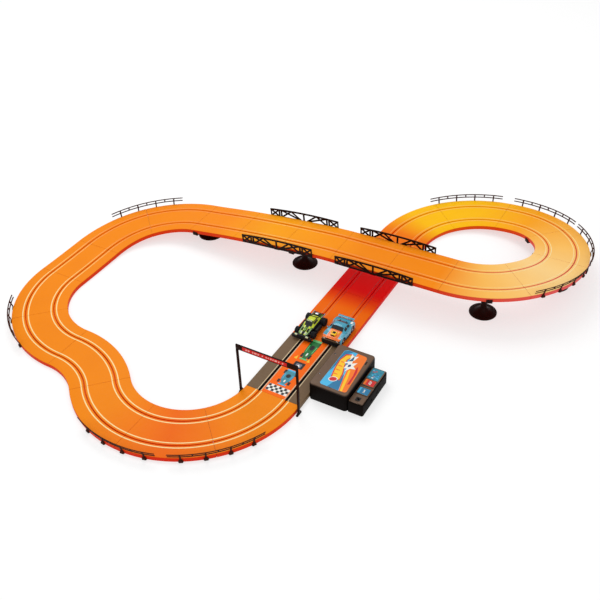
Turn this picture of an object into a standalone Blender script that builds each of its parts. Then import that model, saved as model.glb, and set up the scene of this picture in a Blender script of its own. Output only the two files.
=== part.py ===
"""Two-lane slot car track set: a bridged figure-of-eight of snap-together track pieces, with its guardrails,
bridge trusses, piers, start gantry, battery box and two cars.

The layout is walked piece by piece from the start line, travelling away from the gantry. Each sub-part is an
object of its own. Units are metres, +Z is up, and the set stands on z = 0 with its footprint centred.
"""
import math

import bmesh
import bpy
import numpy as np
from mathutils import Matrix, Vector

# Track system
MM = 0.001
CURVE_RADIUS = 0.250
CURVE_ANGLE = math.radians(45)
CURVE_STEPS = 6
STRAIGHT_LENGTH = (2 + math.sqrt(2)) * CURVE_RADIUS / 5
BASE_LENGTH = (4 - math.sqrt(2)) * CURVE_RADIUS - 2 * STRAIGHT_LENGTH
STRAIGHT_STEPS = 3
TRACK_WIDTH = 0.161
LANE_OFFSET = 0.0405
DECK_HEIGHT = 0.013
DECK_THICKNESS = 1.8 * MM
SLOT_WIDTH = 3.6 * MM
SLOT_DEPTH = 6.0 * MM
GAP = 0.3 * MM
JOINT_GAP = 0.6 * MM

# The circuit in travel order: kind of piece, and height in mm of its start above the ground-level deck
CIRCUIT = [
    ("base", 0), ("straight", 0), ("straight", 0), ("straight", 0),
    ("right", 0), ("right", 6), ("right", 19), ("right", 46), ("right", 75), ("right", 97),
    ("straight", 101), ("straight", 99), ("straight", 97), ("straight", 86), ("straight", 69),
    ("left", 46), ("left", 22), ("straight", 3),
    ("left", 0), ("left", 0), ("right", 0), ("left", 0), ("left", 0), ("left", 0),
]

# Guardrails: metres along the unrolled rail, heights above the deck
GUARD_SPAN = math.radians(42.2)
GUARD_THICKNESS = 2.4 * MM
GUARD_BAR = 2.4 * MM
GUARD_TOP = 19.8 * MM
GUARD_LOWER_BAR = 9.0 * MM
GUARD_FOOT = -11.0 * MM
GUARD_FOOT_HEIGHT = 4.5 * MM
GUARD_LEAN = 0.28
GUARD_CLEARANCE = 0.8 * MM
GUARD_POSTS = 4
GUARD_OVERHANG = 0.50
GUARD_WIDTHS = {"spacer": 3.0 * MM, "post": 4.0 * MM, "foot": 11.0 * MM}
# Index of the piece that each rail is centred on, and how far along that piece
GUARDS = [(5, 0.41), (6, 0.5), (7, 0.5), (8, 0.5), (15, 0.98), (19, 0.12), (21, 0.97), (23, 0.02)]

# Bridge trusses
TRUSS_LENGTH = 0.248
TRUSS_THICKNESS = 3.0 * MM
TRUSS_BAR = 3.8 * MM
TRUSS_HEIGHT = 27.5 * MM
TRUSS_ARCH = 5.0 * MM
TRUSS_DROP = 8.5 * MM
TRUSS_OFFSET = 4.8 * MM
TRUSS_CENTRES = [-1.08 * CURVE_RADIUS, 0.206 * CURVE_RADIUS]

# Piers: index of the piece each stands under, and how far along that piece
PIERS = [(6, 1.0), (7, 1.0), (9, 0.45), (12, 0.77), (14, 0.88)]
PIER_BASE_RADIUS = 0.040
PIER_RIM = 3.0 * MM
PIER_CONE_HEIGHT = 15.0 * MM
PIER_STEM_RADIUS = 8.5 * MM
PIER_BAR_LENGTH = 18.0 * MM
PIER_BAR_THICKNESS = 3.0 * MM
PIER_CLIP_RISE = 9.0 * MM
PIER_CLIP_THICKNESS = 2.0 * MM
PIER_SIDES = 20

# Start gantry
GANTRY_Y = -0.016
GANTRY_TOP = 0.152
GANTRY_POST_WIDTH = 6.0 * MM
GANTRY_POST_DEPTH = 4.0 * MM
GANTRY_BEAM_HEIGHT = 16.0 * MM
GANTRY_FOOT_LENGTH = 22.0 * MM
GANTRY_CLEARANCE = 3.2 * MM

# Battery box, beside the first piece, with a lower block of sockets outside it
BOX_LEFT = TRACK_WIDTH / 2 + GAP
BOX_SIZE = Vector((0.109, 0.172, 0.050))
BOX_NEAR = 0.046
BOX_WALL = 2.5 * MM
BOARD_SIZE = Vector((0.099, 0.022, 1.6 * MM))
COVER_THICKNESS = 4.2 * MM
COVER_RECESS = 1.6 * MM
COVER_MARGIN = 9.0 * MM
COVER_SLOT = Vector((3.5 * MM, 12.0 * MM))
COVER_SLOT_SHARES = [0.22, 0.78]
COVER_HOLE_RADIUS = 2.2 * MM
COVER_HOLE_SHARES = [(0.08, 0.26), (0.08, 0.76), (0.52, 0.06)]
SOCKET_SIZE = Vector((0.0435, 0.145, 0.0365))
SOCKET_NEAR = 0.050
SOCKET_PAD_HEIGHT = 1.6 * MM
SOCKET_PAD_LENGTH = 0.028
SOCKET_PAD_MIDDLES = [0.068, 0.100, 0.134]
SOCKET_HOLE = Vector((0.0075, 0.0075, 0.009))
SOCKET_HOLE_RISE = 12.0 * MM

# Cars, each in its own frame: x to the side, y backwards from the middle, z up from the deck
RIDE_GAP = 0.3 * MM
AXLE_RADIUS = 1.2 * MM
BEARING_GAP = 0.3 * MM
GEAR_RADIUS = 3.9 * MM
GUIDE_BLADE = Vector((1.8 * MM, 6.0 * MM, 5.0 * MM))
GUIDE_STEM_RADIUS = 2.0 * MM
CHASSIS_LOW = 3.2 * MM
CHASSIS_PLATE = 2.4 * MM
CAR_SHELL = 1.3 * MM
ARCH_GAP = 1.4


def clear_scene():
    for thing in list(bpy.data.objects):
        bpy.data.objects.remove(thing, do_unlink=True)


def new_collection(name):
    collection = bpy.data.collections.new(name)
    bpy.context.scene.collection.children.link(collection)
    return collection


clear_scene()
PARTS = new_collection("slot_car_track_set")
CUTTERS = new_collection("cutters")
SET_ORIGIN = bpy.data.objects.new("set_origin", None)
PARTS.objects.link(SET_ORIGIN)


# Materials -------------------------------------------------------------------------------------------------
COLOURS = {
    "track": ((0.90, 0.30, 0.03), 0.42, 0.0),
    "start_track": ((0.26, 0.19, 0.14), 0.55, 0.0),
    "trim": ((0.035, 0.022, 0.018), 0.50, 0.0),
    "box": ((0.20, 0.15, 0.12), 0.50, 0.0),
    "board": ((0.05, 0.22, 0.10), 0.45, 0.0),
    "coupe": ((0.10, 0.42, 0.58), 0.25, 0.0),
    "buggy": ((0.45, 0.55, 0.04), 0.30, 0.0),
    "chassis": ((0.02, 0.02, 0.02), 0.55, 0.0),
    "motor": ((0.60, 0.60, 0.62), 0.35, 1.0),
    "tyre": ((0.015, 0.015, 0.016), 0.75, 0.0),
}


def material_for(name, finish):
    colour, roughness, metallic = COLOURS[finish]
    material = bpy.data.materials.new(name)
    material.use_nodes = True
    shader = material.node_tree.nodes["Principled BSDF"]
    shader.inputs["Base Color"].default_value = (*colour, 1)
    shader.inputs["Roughness"].default_value = roughness
    shader.inputs["Metallic"].default_value = metallic
    return material


# Building blocks -------------------------------------------------------------------------------------------
def add_part(name, mesh, finish, location=(0, 0, 0), turn=0.0, parent=None):
    part = bpy.data.objects.new(name, mesh)
    PARTS.objects.link(part)
    mesh.materials.append(material_for(name, finish))
    part.location = location
    part.rotation_euler = (0, 0, turn)
    part.parent = parent or SET_ORIGIN
    return part


def add_cutter(name, mesh, like):
    """A helper solid in the same frame as the part that it cuts or joins."""
    cutter = bpy.data.objects.new(name, mesh)
    CUTTERS.objects.link(cutter)
    cutter.hide_render = True
    cutter.display_type = "WIRE"
    cutter.parent = like.parent
    cutter.location = like.location
    cutter.rotation_euler = like.rotation_euler
    return cutter


def combine(part, mesh, operation):
    cutter = add_cutter(f"{part.name}_tool_{len(part.modifiers)}", mesh, part)
    boolean = part.modifiers.new(operation.lower(), "BOOLEAN")
    boolean.operation = operation
    boolean.solver = "EXACT"
    boolean.object = cutter


def mesh_from(bm, name):
    mesh = bpy.data.meshes.new(name)
    bm.to_mesh(mesh)
    bm.free()
    return mesh


def box_mesh(low, high):
    low, high = Vector(low), Vector(high)
    bm = bmesh.new()
    bmesh.ops.create_cube(bm, size=1)
    bmesh.ops.scale(bm, verts=bm.verts, vec=high - low)
    bmesh.ops.translate(bm, verts=bm.verts, vec=(low + high) / 2)
    return mesh_from(bm, "box")


def cylinder_mesh(radius, start, end, sides=14):
    start, end = Vector(start), Vector(end)
    bm = bmesh.new()
    bmesh.ops.create_cone(bm, cap_ends=True, segments=sides, radius1=radius, radius2=radius,
                          depth=(end - start).length)
    turn = (end - start).to_track_quat("Z", "Y").to_matrix()
    bmesh.ops.rotate(bm, verts=bm.verts, matrix=turn)
    bmesh.ops.translate(bm, verts=bm.verts, vec=(start + end) / 2)
    return mesh_from(bm, "cylinder")


def bevel(part, width, segments=2, angle=math.radians(40)):
    edge = part.modifiers.new("rounded_edges", "BEVEL")
    edge.width = width
    edge.segments = segments
    edge.limit_method = "ANGLE"
    edge.angle_limit = angle


def solidify(part, thickness, offset=-1):
    shell = part.modifiers.new("shell", "SOLIDIFY")
    shell.thickness = thickness
    shell.offset = offset
    shell.use_even_offset = True


def turned(name, profile, finish, sides, axis="Z", location=(0, 0, 0), parent=None):
    """A turned solid from (radius, height) points, listed from the top down its outer side."""
    bm = bmesh.new()
    points = [bm.verts.new((radius, 0, height)) for radius, height in profile]
    for first, second in zip(points, points[1:]):
        bm.edges.new((first, second))
    part = add_part(name, mesh_from(bm, name), finish, location, parent=parent)
    screw = part.modifiers.new("turn", "SCREW")
    screw.axis = "Z"
    screw.steps = sides
    screw.render_steps = sides
    screw.use_merge_vertices = True
    screw.merge_threshold = 0.00001
    if axis == "X":
        part.rotation_euler = (0, math.radians(90), 0)
    return part


def flat_plate(name, outline, holes, thickness):
    """A flat plate in the XZ plane, centred on y = 0, from an outline and the outlines of its holes."""
    curve = bpy.data.curves.new(name, "CURVE")
    curve.dimensions = "2D"
    curve.fill_mode = "BOTH"
    curve.extrude = thickness / 2
    for loop in [outline, *holes]:
        spline = curve.splines.new("POLY")
        spline.points.add(len(loop) - 1)
        for point, (x, z) in zip(spline.points, loop):
            point.co = (x, z, 0, 1)
        spline.use_cyclic_u = True
    helper = bpy.data.objects.new(name, curve)
    CUTTERS.objects.link(helper)
    graph = bpy.context.evaluated_depsgraph_get()
    mesh = bpy.data.meshes.new_from_object(helper.evaluated_get(graph))
    bpy.data.objects.remove(helper)
    bm = bmesh.new()
    bm.from_mesh(mesh)
    bmesh.ops.remove_doubles(bm, verts=bm.verts, dist=0.00001)
    bmesh.ops.rotate(bm, verts=bm.verts, matrix=Matrix.Rotation(math.radians(90), 3, "X"))
    bmesh.ops.recalc_face_normals(bm, faces=bm.faces)
    mesh.materials.clear()
    bm.to_mesh(mesh)
    bm.free()
    return mesh


def inset(polygon, distance):
    """The convex polygon with each side moved inwards, for a window between bars."""
    count = len(polygon)
    area = sum(polygon[i][0] * polygon[(i + 1) % count][1] - polygon[(i + 1) % count][0] * polygon[i][1]
               for i in range(count))
    side = 1 if area > 0 else -1
    lines = []
    for i in range(count):
        start, end = Vector(polygon[i]), Vector(polygon[(i + 1) % count])
        along = (end - start).normalized()
        lines.append((start + side * distance * Vector((-along.y, along.x)), along))
    corners = []
    for i in range(count):
        (p, u), (q, v) = lines[i - 1], lines[i]
        step = ((q - p).x * v.y - (q - p).y * v.x) / (u.x * v.y - u.y * v.x)
        corners.append(tuple(p + step * u))
    return corners


# The circuit -----------------------------------------------------------------------------------------------
LENGTHS = {"base": BASE_LENGTH, "straight": STRAIGHT_LENGTH,
           "left": CURVE_RADIUS * CURVE_ANGLE, "right": CURVE_RADIUS * CURVE_ANGLE}
BENDS = {"base": 0, "straight": 0, "left": 1, "right": -1}
STATIONS = np.concatenate([[0], np.cumsum([LENGTHS[kind] for kind, _ in CIRCUIT])])
HEIGHTS = np.array([height for _, height in CIRCUIT] + [0]) * MM


def joint_slopes():
    """The climb at each joint that keeps the deck's slope smooth and never overshoots its heights."""
    climbs = np.diff(HEIGHTS) / np.diff(STATIONS)
    slopes = np.zeros(len(HEIGHTS))
    for i in range(1, len(HEIGHTS) - 1):
        before, after = climbs[i - 1], climbs[i]
        if before * after > 0:
            slopes[i] = 2 * before * after / (before + after)
    return slopes


SLOPES = joint_slopes()


def deck_rise(station):
    """Height of the deck above its ground level, at a distance along the circuit."""
    i = int(np.clip(np.searchsorted(STATIONS, station, side="right") - 1, 0, len(CIRCUIT) - 1))
    length = STATIONS[i + 1] - STATIONS[i]
    t = (station - STATIONS[i]) / length
    start = (1 + 2 * t) * (1 - t) ** 2 * HEIGHTS[i] + t * (1 - t) ** 2 * length * SLOPES[i]
    end = t * t * (3 - 2 * t) * HEIGHTS[i + 1] + t * t * (t - 1) * length * SLOPES[i + 1]
    return start + end


def deck_climb(station):
    return (deck_rise(station + MM) - deck_rise(station - MM)) / (2 * MM)


def local_place(kind, distance):
    """Position and heading at a distance along a piece that starts at the origin and heads along +X."""
    bend = BENDS[kind]
    if not bend:
        return Vector((distance, 0)), 0.0
    angle = distance / CURVE_RADIUS
    place = Vector((math.sin(angle), bend * (1 - math.cos(angle)))) * CURVE_RADIUS
    return place, bend * angle


def walk_circuit():
    """The position and heading of each piece's start, from the start line and heading along +Y."""
    place, heading = Vector((0, 0)), math.radians(90)
    starts = []
    for kind, _ in CIRCUIT:
        starts.append((place, heading))
        step, turn = local_place(kind, LENGTHS[kind])
        place = place + Matrix.Rotation(heading, 2) @ step
        heading += turn
    return starts


STARTS = walk_circuit()


def circuit_place(piece, distance):
    """World position of the deck's centre line and the heading there."""
    start, heading = STARTS[piece]
    step, turn = local_place(CIRCUIT[piece][0], distance)
    place = start + Matrix.Rotation(heading, 2) @ step
    height = DECK_HEIGHT + deck_rise(STATIONS[piece] + distance)
    return Vector((*place, height)), heading + turn


def deck_profile():
    """Half of the cross-section from the middle of the deck out to the foot of the skirt."""
    slot_in, slot_out = LANE_OFFSET - SLOT_WIDTH / 2, LANE_OFFSET + SLOT_WIDTH / 2
    edge, foot = TRACK_WIDTH / 2, -DECK_HEIGHT
    slot = [(slot_in, 0), (slot_in, -SLOT_DEPTH), (slot_out, -SLOT_DEPTH), (slot_out, 0)]
    return slot + [(edge, 0), (edge, foot)]


def track_mesh(piece):
    """One open strip swept along the piece, then raised to the deck's height at each place."""
    kind = CIRCUIT[piece][0]
    bend, length = BENDS[kind], LENGTHS[kind]
    half = deck_profile()
    profile = [(-y, z) for y, z in reversed(half)] + half
    bm = bmesh.new()
    points = [bm.verts.new((0, y, z)) for y, z in profile]
    edges = [bm.edges.new(pair) for pair in zip(points, points[1:])]
    if bend:
        centre = (0, bend * CURVE_RADIUS, 0)
        end_gap = JOINT_GAP / 2 / CURVE_RADIUS
        bmesh.ops.rotate(bm, cent=centre, verts=bm.verts, matrix=Matrix.Rotation(bend * end_gap, 3, "Z"))
        bmesh.ops.spin(bm, geom=points + edges, cent=centre, axis=(0, 0, bend), steps=CURVE_STEPS,
                       angle=CURVE_ANGLE - 2 * end_gap)
    else:
        steps = STRAIGHT_STEPS if HEIGHTS[piece] or HEIGHTS[piece + 1] else 1
        bmesh.ops.translate(bm, verts=bm.verts, vec=(JOINT_GAP / 2, 0, 0))
        for _ in range(steps):
            grown = bmesh.ops.extrude_edge_only(bm, edges=edges)["geom"]
            edges = [item for item in grown if isinstance(item, bmesh.types.BMEdge)]
            moved = [item for item in grown if isinstance(item, bmesh.types.BMVert)]
            bmesh.ops.translate(bm, verts=moved, vec=((length - JOINT_GAP) / steps, 0, 0))
    for vertex in bm.verts:
        x, y = vertex.co.x, vertex.co.y
        along = math.atan2(x, CURVE_RADIUS - bend * y) * CURVE_RADIUS if bend else x
        vertex.co.z += deck_rise(STATIONS[piece] + along)
    bmesh.ops.recalc_face_normals(bm, faces=bm.faces)
    deck = max(bm.faces, key=lambda face: face.calc_area() * abs(face.normal.z))
    if deck.normal.z < 0:
        bmesh.ops.reverse_faces(bm, faces=bm.faces)
    return mesh_from(bm, "track")


def make_track():
    counts = {"straight": 0, "left": 0, "right": 0}
    for piece, (kind, _) in enumerate(CIRCUIT):
        name = "start_straight"
        if kind != "base":
            counts[kind] += 1
            name = f"straight_{counts['straight']}" if kind == "straight" else f"curve_{kind}_{counts[kind]}"
        place, heading = STARTS[piece]
        finish = "start_track" if kind == "base" else "track"
        part = add_part(name, track_mesh(piece), finish, (*place, DECK_HEIGHT), heading)
        solidify(part, DECK_THICKNESS)


# Guardrails ------------------------------------------------------------------------------------------------
def guard_columns():
    """Edges along the rail, as shares of its length, and what each column between them holds."""
    pitch = 1.0 / (GUARD_POSTS - 1 + 2 * GUARD_OVERHANG)
    length = GUARD_SPAN * (CURVE_RADIUS + TRACK_WIDTH / 2)
    edges, kinds = [0.0], []
    for i in range(2 * GUARD_POSTS - 1):
        middle = pitch * (GUARD_OVERHANG + i / 2)
        half_foot, half_post, half_spacer = [
            GUARD_WIDTHS[kind] / 2 / length for kind in ("foot", "post", "spacer")]
        if i % 2:
            edges += [middle - half_spacer, middle + half_spacer]
            kinds += ["open", "spacer"]
        else:
            edges += [middle - half_foot, middle - half_post, middle + half_post, middle + half_foot]
            kinds += ["open", "foot", "post", "foot"]
    return edges + [1.0], kinds + ["open"]


def guard_mesh(inner_radius):
    """The rail as a curved lattice: a grid bent to the curve, with its windows taken out."""
    columns, kinds = guard_columns()
    lower, top = GUARD_LOWER_BAR, GUARD_TOP
    rows = [GUARD_FOOT, GUARD_FOOT + GUARD_FOOT_HEIGHT, 0.0, lower, lower + GUARD_BAR, top - GUARD_BAR, top]
    kept = {"open": (3, 5), "foot": (0, 3, 5), "spacer": (3, 4, 5), "post": (0, 1, 2, 3, 4, 5)}
    bm = bmesh.new()
    grid = []
    for share in columns:
        angle = GUARD_SPAN * (share - 0.5)
        radii = [inner_radius + GUARD_LEAN * max(z, 0.0) for z in rows]
        grid.append([bm.verts.new((radius * math.cos(angle), radius * math.sin(angle), z))
                     for radius, z in zip(radii, rows)])
    for i, kind in enumerate(kinds):
        for j in kept[kind]:
            bm.faces.new((grid[i][j], grid[i + 1][j], grid[i + 1][j + 1], grid[i][j + 1]))
    loose = [vertex for vertex in bm.verts if not vertex.link_faces]
    bmesh.ops.delete(bm, geom=loose, context="VERTS")
    return mesh_from(bm, "guardrail")


def guard_part(number, piece, distance):
    """A rail centred at a distance along a curve, on its outer side, tilted with the climb of the deck."""
    bend = BENDS[CIRCUIT[piece][0]]
    place, heading = circuit_place(piece, distance)
    outward = heading - bend * math.radians(90)
    direction = Vector((math.cos(outward), math.sin(outward), 0))
    centre = place - direction * CURVE_RADIUS
    radius = CURVE_RADIUS + TRACK_WIDTH / 2 + GUARD_CLEARANCE
    mesh = guard_mesh(radius)
    middle = STATIONS[piece] + distance
    for vertex in mesh.vertices:
        along = bend * math.atan2(vertex.co.y, vertex.co.x) * CURVE_RADIUS
        vertex.co.z += deck_rise(middle + along) - deck_rise(middle)
    part = add_part(f"guardrail_{number}", mesh, "trim", centre, outward)
    solidify(part, GUARD_THICKNESS, offset=1)


def make_guardrails():
    for number, (piece, share) in enumerate(GUARDS, 1):
        guard_part(number, piece, share * CURVE_RADIUS * CURVE_ANGLE)


# Bridge trusses --------------------------------------------------------------------------------------------
def truss_top(x):
    return TRUSS_HEIGHT - TRUSS_BAR / 2 + TRUSS_ARCH * (1 - (2 * x / TRUSS_LENGTH) ** 2)


def truss_windows():
    """The windows of one half, between the centre lines of its bars, from the end to the middle."""
    end, post, second, apex, foot = 0.1225, 0.091, 0.083, 0.046, 0.008
    low = TRUSS_BAR / 2

    def top(x):
        return (x, truss_top(x))

    def bottom(x):
        return (x, low)

    cross = Vector(top(end)).lerp(Vector(bottom(post)), 0.5)
    share = (second - apex) / (second - foot + second - apex)
    meet = Vector(top(second)).lerp(Vector(bottom(foot)), share)
    return [
        [top(end), bottom(end), tuple(cross)],
        [bottom(end), bottom(post), tuple(cross)],
        [bottom(post), top(post), tuple(cross)],
        [top(post), top(end), tuple(cross)],
        [top(post), bottom(post), bottom(second), top(second)],
        [top(second), bottom(second), tuple(meet)],
        [bottom(second), bottom(foot), tuple(meet)],
        [top(second), tuple(meet), top(apex)],
        [top(apex), tuple(meet), bottom(foot), bottom(0), top(0)],
    ]


def truss_mesh():
    half = TRUSS_LENGTH / 2
    arch = [half * (1 - share / 4) for share in range(9)]
    outline = [(x, truss_top(x) + TRUSS_BAR / 2) for x in arch] + [(-half, 0), (half, 0)]
    windows = [inset(window, TRUSS_BAR / 2) for window in truss_windows()]
    mirrored = [[(-x, z) for x, z in window] for window in windows]
    return flat_plate("truss", outline, windows + mirrored, TRUSS_THICKNESS)


def make_trusses():
    bridge_start, bridge_y = STARTS[10][0]
    for pair, centre_x in enumerate(TRUSS_CENTRES, 1):
        station = STATIONS[10] + bridge_start - centre_x
        rise = DECK_HEIGHT + deck_rise(station) - TRUSS_DROP
        for side, label in ((-1, "near"), (1, "far")):
            y = bridge_y + side * (TRACK_WIDTH / 2 + TRUSS_OFFSET)
            part = add_part(f"truss_{label}_{pair}", truss_mesh(), "trim", (centre_x, y, rise))
            part.rotation_euler = (0, math.atan(deck_climb(station)), 0)


# Piers -----------------------------------------------------------------------------------------------------
def make_piers():
    """A turned foot and stem, joined to a cross bar whose ends clip round the track's skirts."""
    half_width = TRACK_WIDTH / 2 + 3 * GAP
    for number, (piece, share) in enumerate(PIERS, 1):
        distance = share * LENGTHS[CIRCUIT[piece][0]]
        place, heading = circuit_place(piece, distance)
        inner_radius = CURVE_RADIUS - TRACK_WIDTH / 2
        steepest = abs(deck_climb(STATIONS[piece] + distance)) * CURVE_RADIUS / inner_radius
        under = place.z - DECK_HEIGHT - GAP - steepest * PIER_BAR_LENGTH / 2
        low = under - PIER_BAR_THICKNESS
        profile = [(0, low + MM), (PIER_STEM_RADIUS, low + MM), (PIER_STEM_RADIUS, PIER_CONE_HEIGHT),
                   (PIER_BASE_RADIUS, PIER_RIM), (PIER_BASE_RADIUS, 0), (0, 0)]
        part = turned(f"pier_{number}", profile, "trim", PIER_SIDES, location=(place.x, place.y, 0))
        part.rotation_euler = (0, 0, heading)
        half_bar = PIER_BAR_LENGTH / 2
        outer = half_width + PIER_CLIP_THICKNESS
        combine(part, box_mesh((-half_bar, -outer, low), (half_bar, outer, under)), "UNION")
        for side in (-1, 1):
            span = sorted((side * half_width, side * outer))
            clip = box_mesh((-half_bar, span[0], low), (half_bar, span[1], under + PIER_CLIP_RISE))
            combine(part, clip, "UNION")


# Start gantry ----------------------------------------------------------------------------------------------
def make_gantry():
    post_x = TRACK_WIDTH / 2 + GANTRY_CLEARANCE
    top = DECK_HEIGHT + GANTRY_TOP
    half_depth = GANTRY_POST_DEPTH / 2
    for side, label in ((-1, "left"), (1, "right")):
        span = sorted((side * post_x, side * (post_x + GANTRY_POST_WIDTH)))
        mesh = box_mesh((span[0], -half_depth, 0), (span[1], half_depth, top - GANTRY_BEAM_HEIGHT - GAP))
        part = add_part(f"gantry_post_{label}", mesh, "trim", (0, GANTRY_Y, 0))
        half_foot = GANTRY_FOOT_LENGTH / 2
        foot = box_mesh((span[0], -half_foot, 0), (span[1], half_foot, DECK_HEIGHT - MM))
        combine(part, foot, "UNION")
    reach = post_x + GANTRY_POST_WIDTH
    beam = box_mesh((-reach, -half_depth, top - GANTRY_BEAM_HEIGHT), (reach, half_depth, top))
    part = add_part("gantry_beam", beam, "trim", (0, GANTRY_Y, 0))
    bevel(part, 0.8 * MM, 1)


# Battery box -----------------------------------------------------------------------------------------------
def make_battery_box():
    low = Vector((BOX_LEFT, BOX_NEAR, 0))
    high = low + BOX_SIZE
    housing = add_part("battery_housing", box_mesh(low, high), "box")
    bevel(housing, 3 * MM, 2, math.radians(60))
    wall = Vector((BOX_WALL, BOX_WALL, BOX_WALL))
    inner_high = high - wall
    inner_high.z = high.z + BOX_WALL
    combine(housing, box_mesh(low + wall, inner_high), "DIFFERENCE")

    cover_low = Vector((low.x, low.y, high.z + GAP))
    cover_high = Vector((high.x, high.y, high.z + GAP + COVER_THICKNESS))
    cover = add_part("battery_cover", box_mesh(cover_low, cover_high), "box")
    bevel(cover, 1.8 * MM, 2)
    recess, above = cover_high.z - COVER_RECESS, cover_high.z + MM
    slot_x = cover_high.x - COVER_MARGIN
    for share in COVER_SLOT_SHARES:
        middle = low.y + share * BOX_SIZE.y
        slot = box_mesh((slot_x - COVER_SLOT.x, middle - COVER_SLOT.y / 2, recess),
                        (slot_x, middle + COVER_SLOT.y / 2, above))
        combine(cover, slot, "DIFFERENCE")
    for share_x, share_y in COVER_HOLE_SHARES:
        x, y = low.x + share_x * BOX_SIZE.x, low.y + share_y * BOX_SIZE.y
        combine(cover, cylinder_mesh(COVER_HOLE_RADIUS, (x, y, recess), (x, y, above), 8), "DIFFERENCE")

    middle_x = (low.x + high.x) / 2
    board_low = Vector((middle_x - BOARD_SIZE.x / 2, high.y - BOX_WALL - MM - BOARD_SIZE.y, BOX_WALL + GAP))
    add_part("control_board", box_mesh(board_low, board_low + BOARD_SIZE), "board")


def make_socket_block():
    """The low block outside the battery box, with the adaptor jack on top and two controller sockets."""
    low = Vector((BOX_LEFT + BOX_SIZE.x + GAP, SOCKET_NEAR, 0))
    high = low + SOCKET_SIZE
    block = add_part("socket_block", box_mesh(low, high), "box")
    bevel(block, 2.0 * MM, 2)
    middle = (low.x + high.x) / 2
    margin, half_pad = 4 * MM, SOCKET_PAD_LENGTH / 2
    for y in SOCKET_PAD_MIDDLES:
        pad = box_mesh((low.x + margin, y - half_pad, high.z - MM),
                       (high.x - margin, y + half_pad, high.z + SOCKET_PAD_HEIGHT))
        combine(block, pad, "UNION")
    half = SOCKET_HOLE / 2
    jack_y = SOCKET_PAD_MIDDLES[0]
    jack = box_mesh((middle - half.x, jack_y - half.y, high.z - SOCKET_HOLE.z),
                    (middle + half.x, jack_y + half.y, high.z + margin))
    combine(block, jack, "DIFFERENCE")
    for y in SOCKET_PAD_MIDDLES[1:]:
        hole = box_mesh((high.x - SOCKET_HOLE.z, y - half.y, SOCKET_HOLE_RISE),
                        (high.x + margin, y + half.y, SOCKET_HOLE_RISE + SOCKET_HOLE.y))
        combine(block, hole, "DIFFERENCE")


# Cars ------------------------------------------------------------------------------------------------------
COUPE = {
    "name": "coupe", "finish": "coupe", "lane": LANE_OFFSET, "y": 1.165 * CURVE_RADIUS,
    "axles": {"front": (-27, 10.0, 9), "rear": (28, 10.8, 10)}, "outer": 29.0,
    "guide": -38, "nose": -45, "tail": 45, "arches": True,
    # y, then half width and height at the sill, at the shoulder and at the roof
    "sections": [
        (-47, 24, 6, 22, 14, 14, 15), (-45, 28, 5, 26.5, 20, 17, 22), (-33, 30, 5, 29, 23.5, 17, 25.5),
        (-14, 30, 4.5, 28, 24.5, 18, 27.5), (-4, 30, 4.5, 27.5, 26, 17.5, 36),
        (14, 30, 4.5, 27.5, 27, 17.5, 36.8), (30, 30, 5, 29, 27, 18.5, 30.5), (46, 29, 6, 28, 25.5, 19, 27.5),
        (50, 25, 9, 24, 21, 16, 22),
    ],
}
BUGGY = {
    "name": "buggy", "finish": "buggy", "lane": -LANE_OFFSET, "y": 1.115 * CURVE_RADIUS,
    "axles": {"front": (-32, 10.5, 11), "rear": (31, 12.0, 13)}, "outer": 31.0,
    "guide": -46, "nose": -53, "tail": 49, "arches": False,
    "sections": [
        (-53, 12, 15.5, 10, 17.5, 5, 18.5), (-46, 15, 15.5, 13, 19, 8, 21), (-22, 16, 15.5, 15, 22, 10, 25),
        (-8, 17, 15.5, 16, 25, 11, 34), (12, 17, 15.5, 16, 25, 11, 35), (26, 16, 15.5, 15, 25, 10, 29),
        (46, 14, 15.5, 13, 22, 9, 25), (51, 11, 17, 10, 20, 6, 21),
    ],
}


def car_frame(car):
    frame = bpy.data.objects.new(car["name"] + "_frame", None)
    PARTS.objects.link(frame)
    frame.location = (car["lane"], car["y"], DECK_HEIGHT)
    frame.parent = SET_ORIGIN
    return frame


def car_body(car, frame):
    """Half of a lofted shell, mirrored, with its wheel arches cut."""
    bm = bmesh.new()
    rows = []
    for y, sill, sill_z, shoulder, shoulder_z, roof, roof_z in car["sections"]:
        half = [(0, roof_z), (roof, roof_z - 0.6), (shoulder, shoulder_z), (sill, sill_z)]
        rows.append([bm.verts.new((x * MM, y * MM, z * MM)) for x, z in half])
    for front, back in zip(rows, rows[1:]):
        for i in range(len(front) - 1):
            bm.faces.new((front[i], front[i + 1], back[i + 1], back[i]))
    body = add_part(car["name"] + "_body", mesh_from(bm, "shell"), car["finish"], parent=frame)
    mirror = body.modifiers.new("other_side", "MIRROR")
    mirror.merge_threshold = 0.00001
    solidify(body, CAR_SHELL)
    if car["arches"]:
        for y, radius, _ in car["axles"].values():
            centre_z = radius * MM + RIDE_GAP
            reach = car["outer"] * MM + 6 * MM
            ends = [(side * reach, y * MM, centre_z) for side in (-1, 1)]
            arch = cylinder_mesh((radius + ARCH_GAP) * MM, *ends, 16)
            combine(body, arch, "DIFFERENCE")


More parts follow.
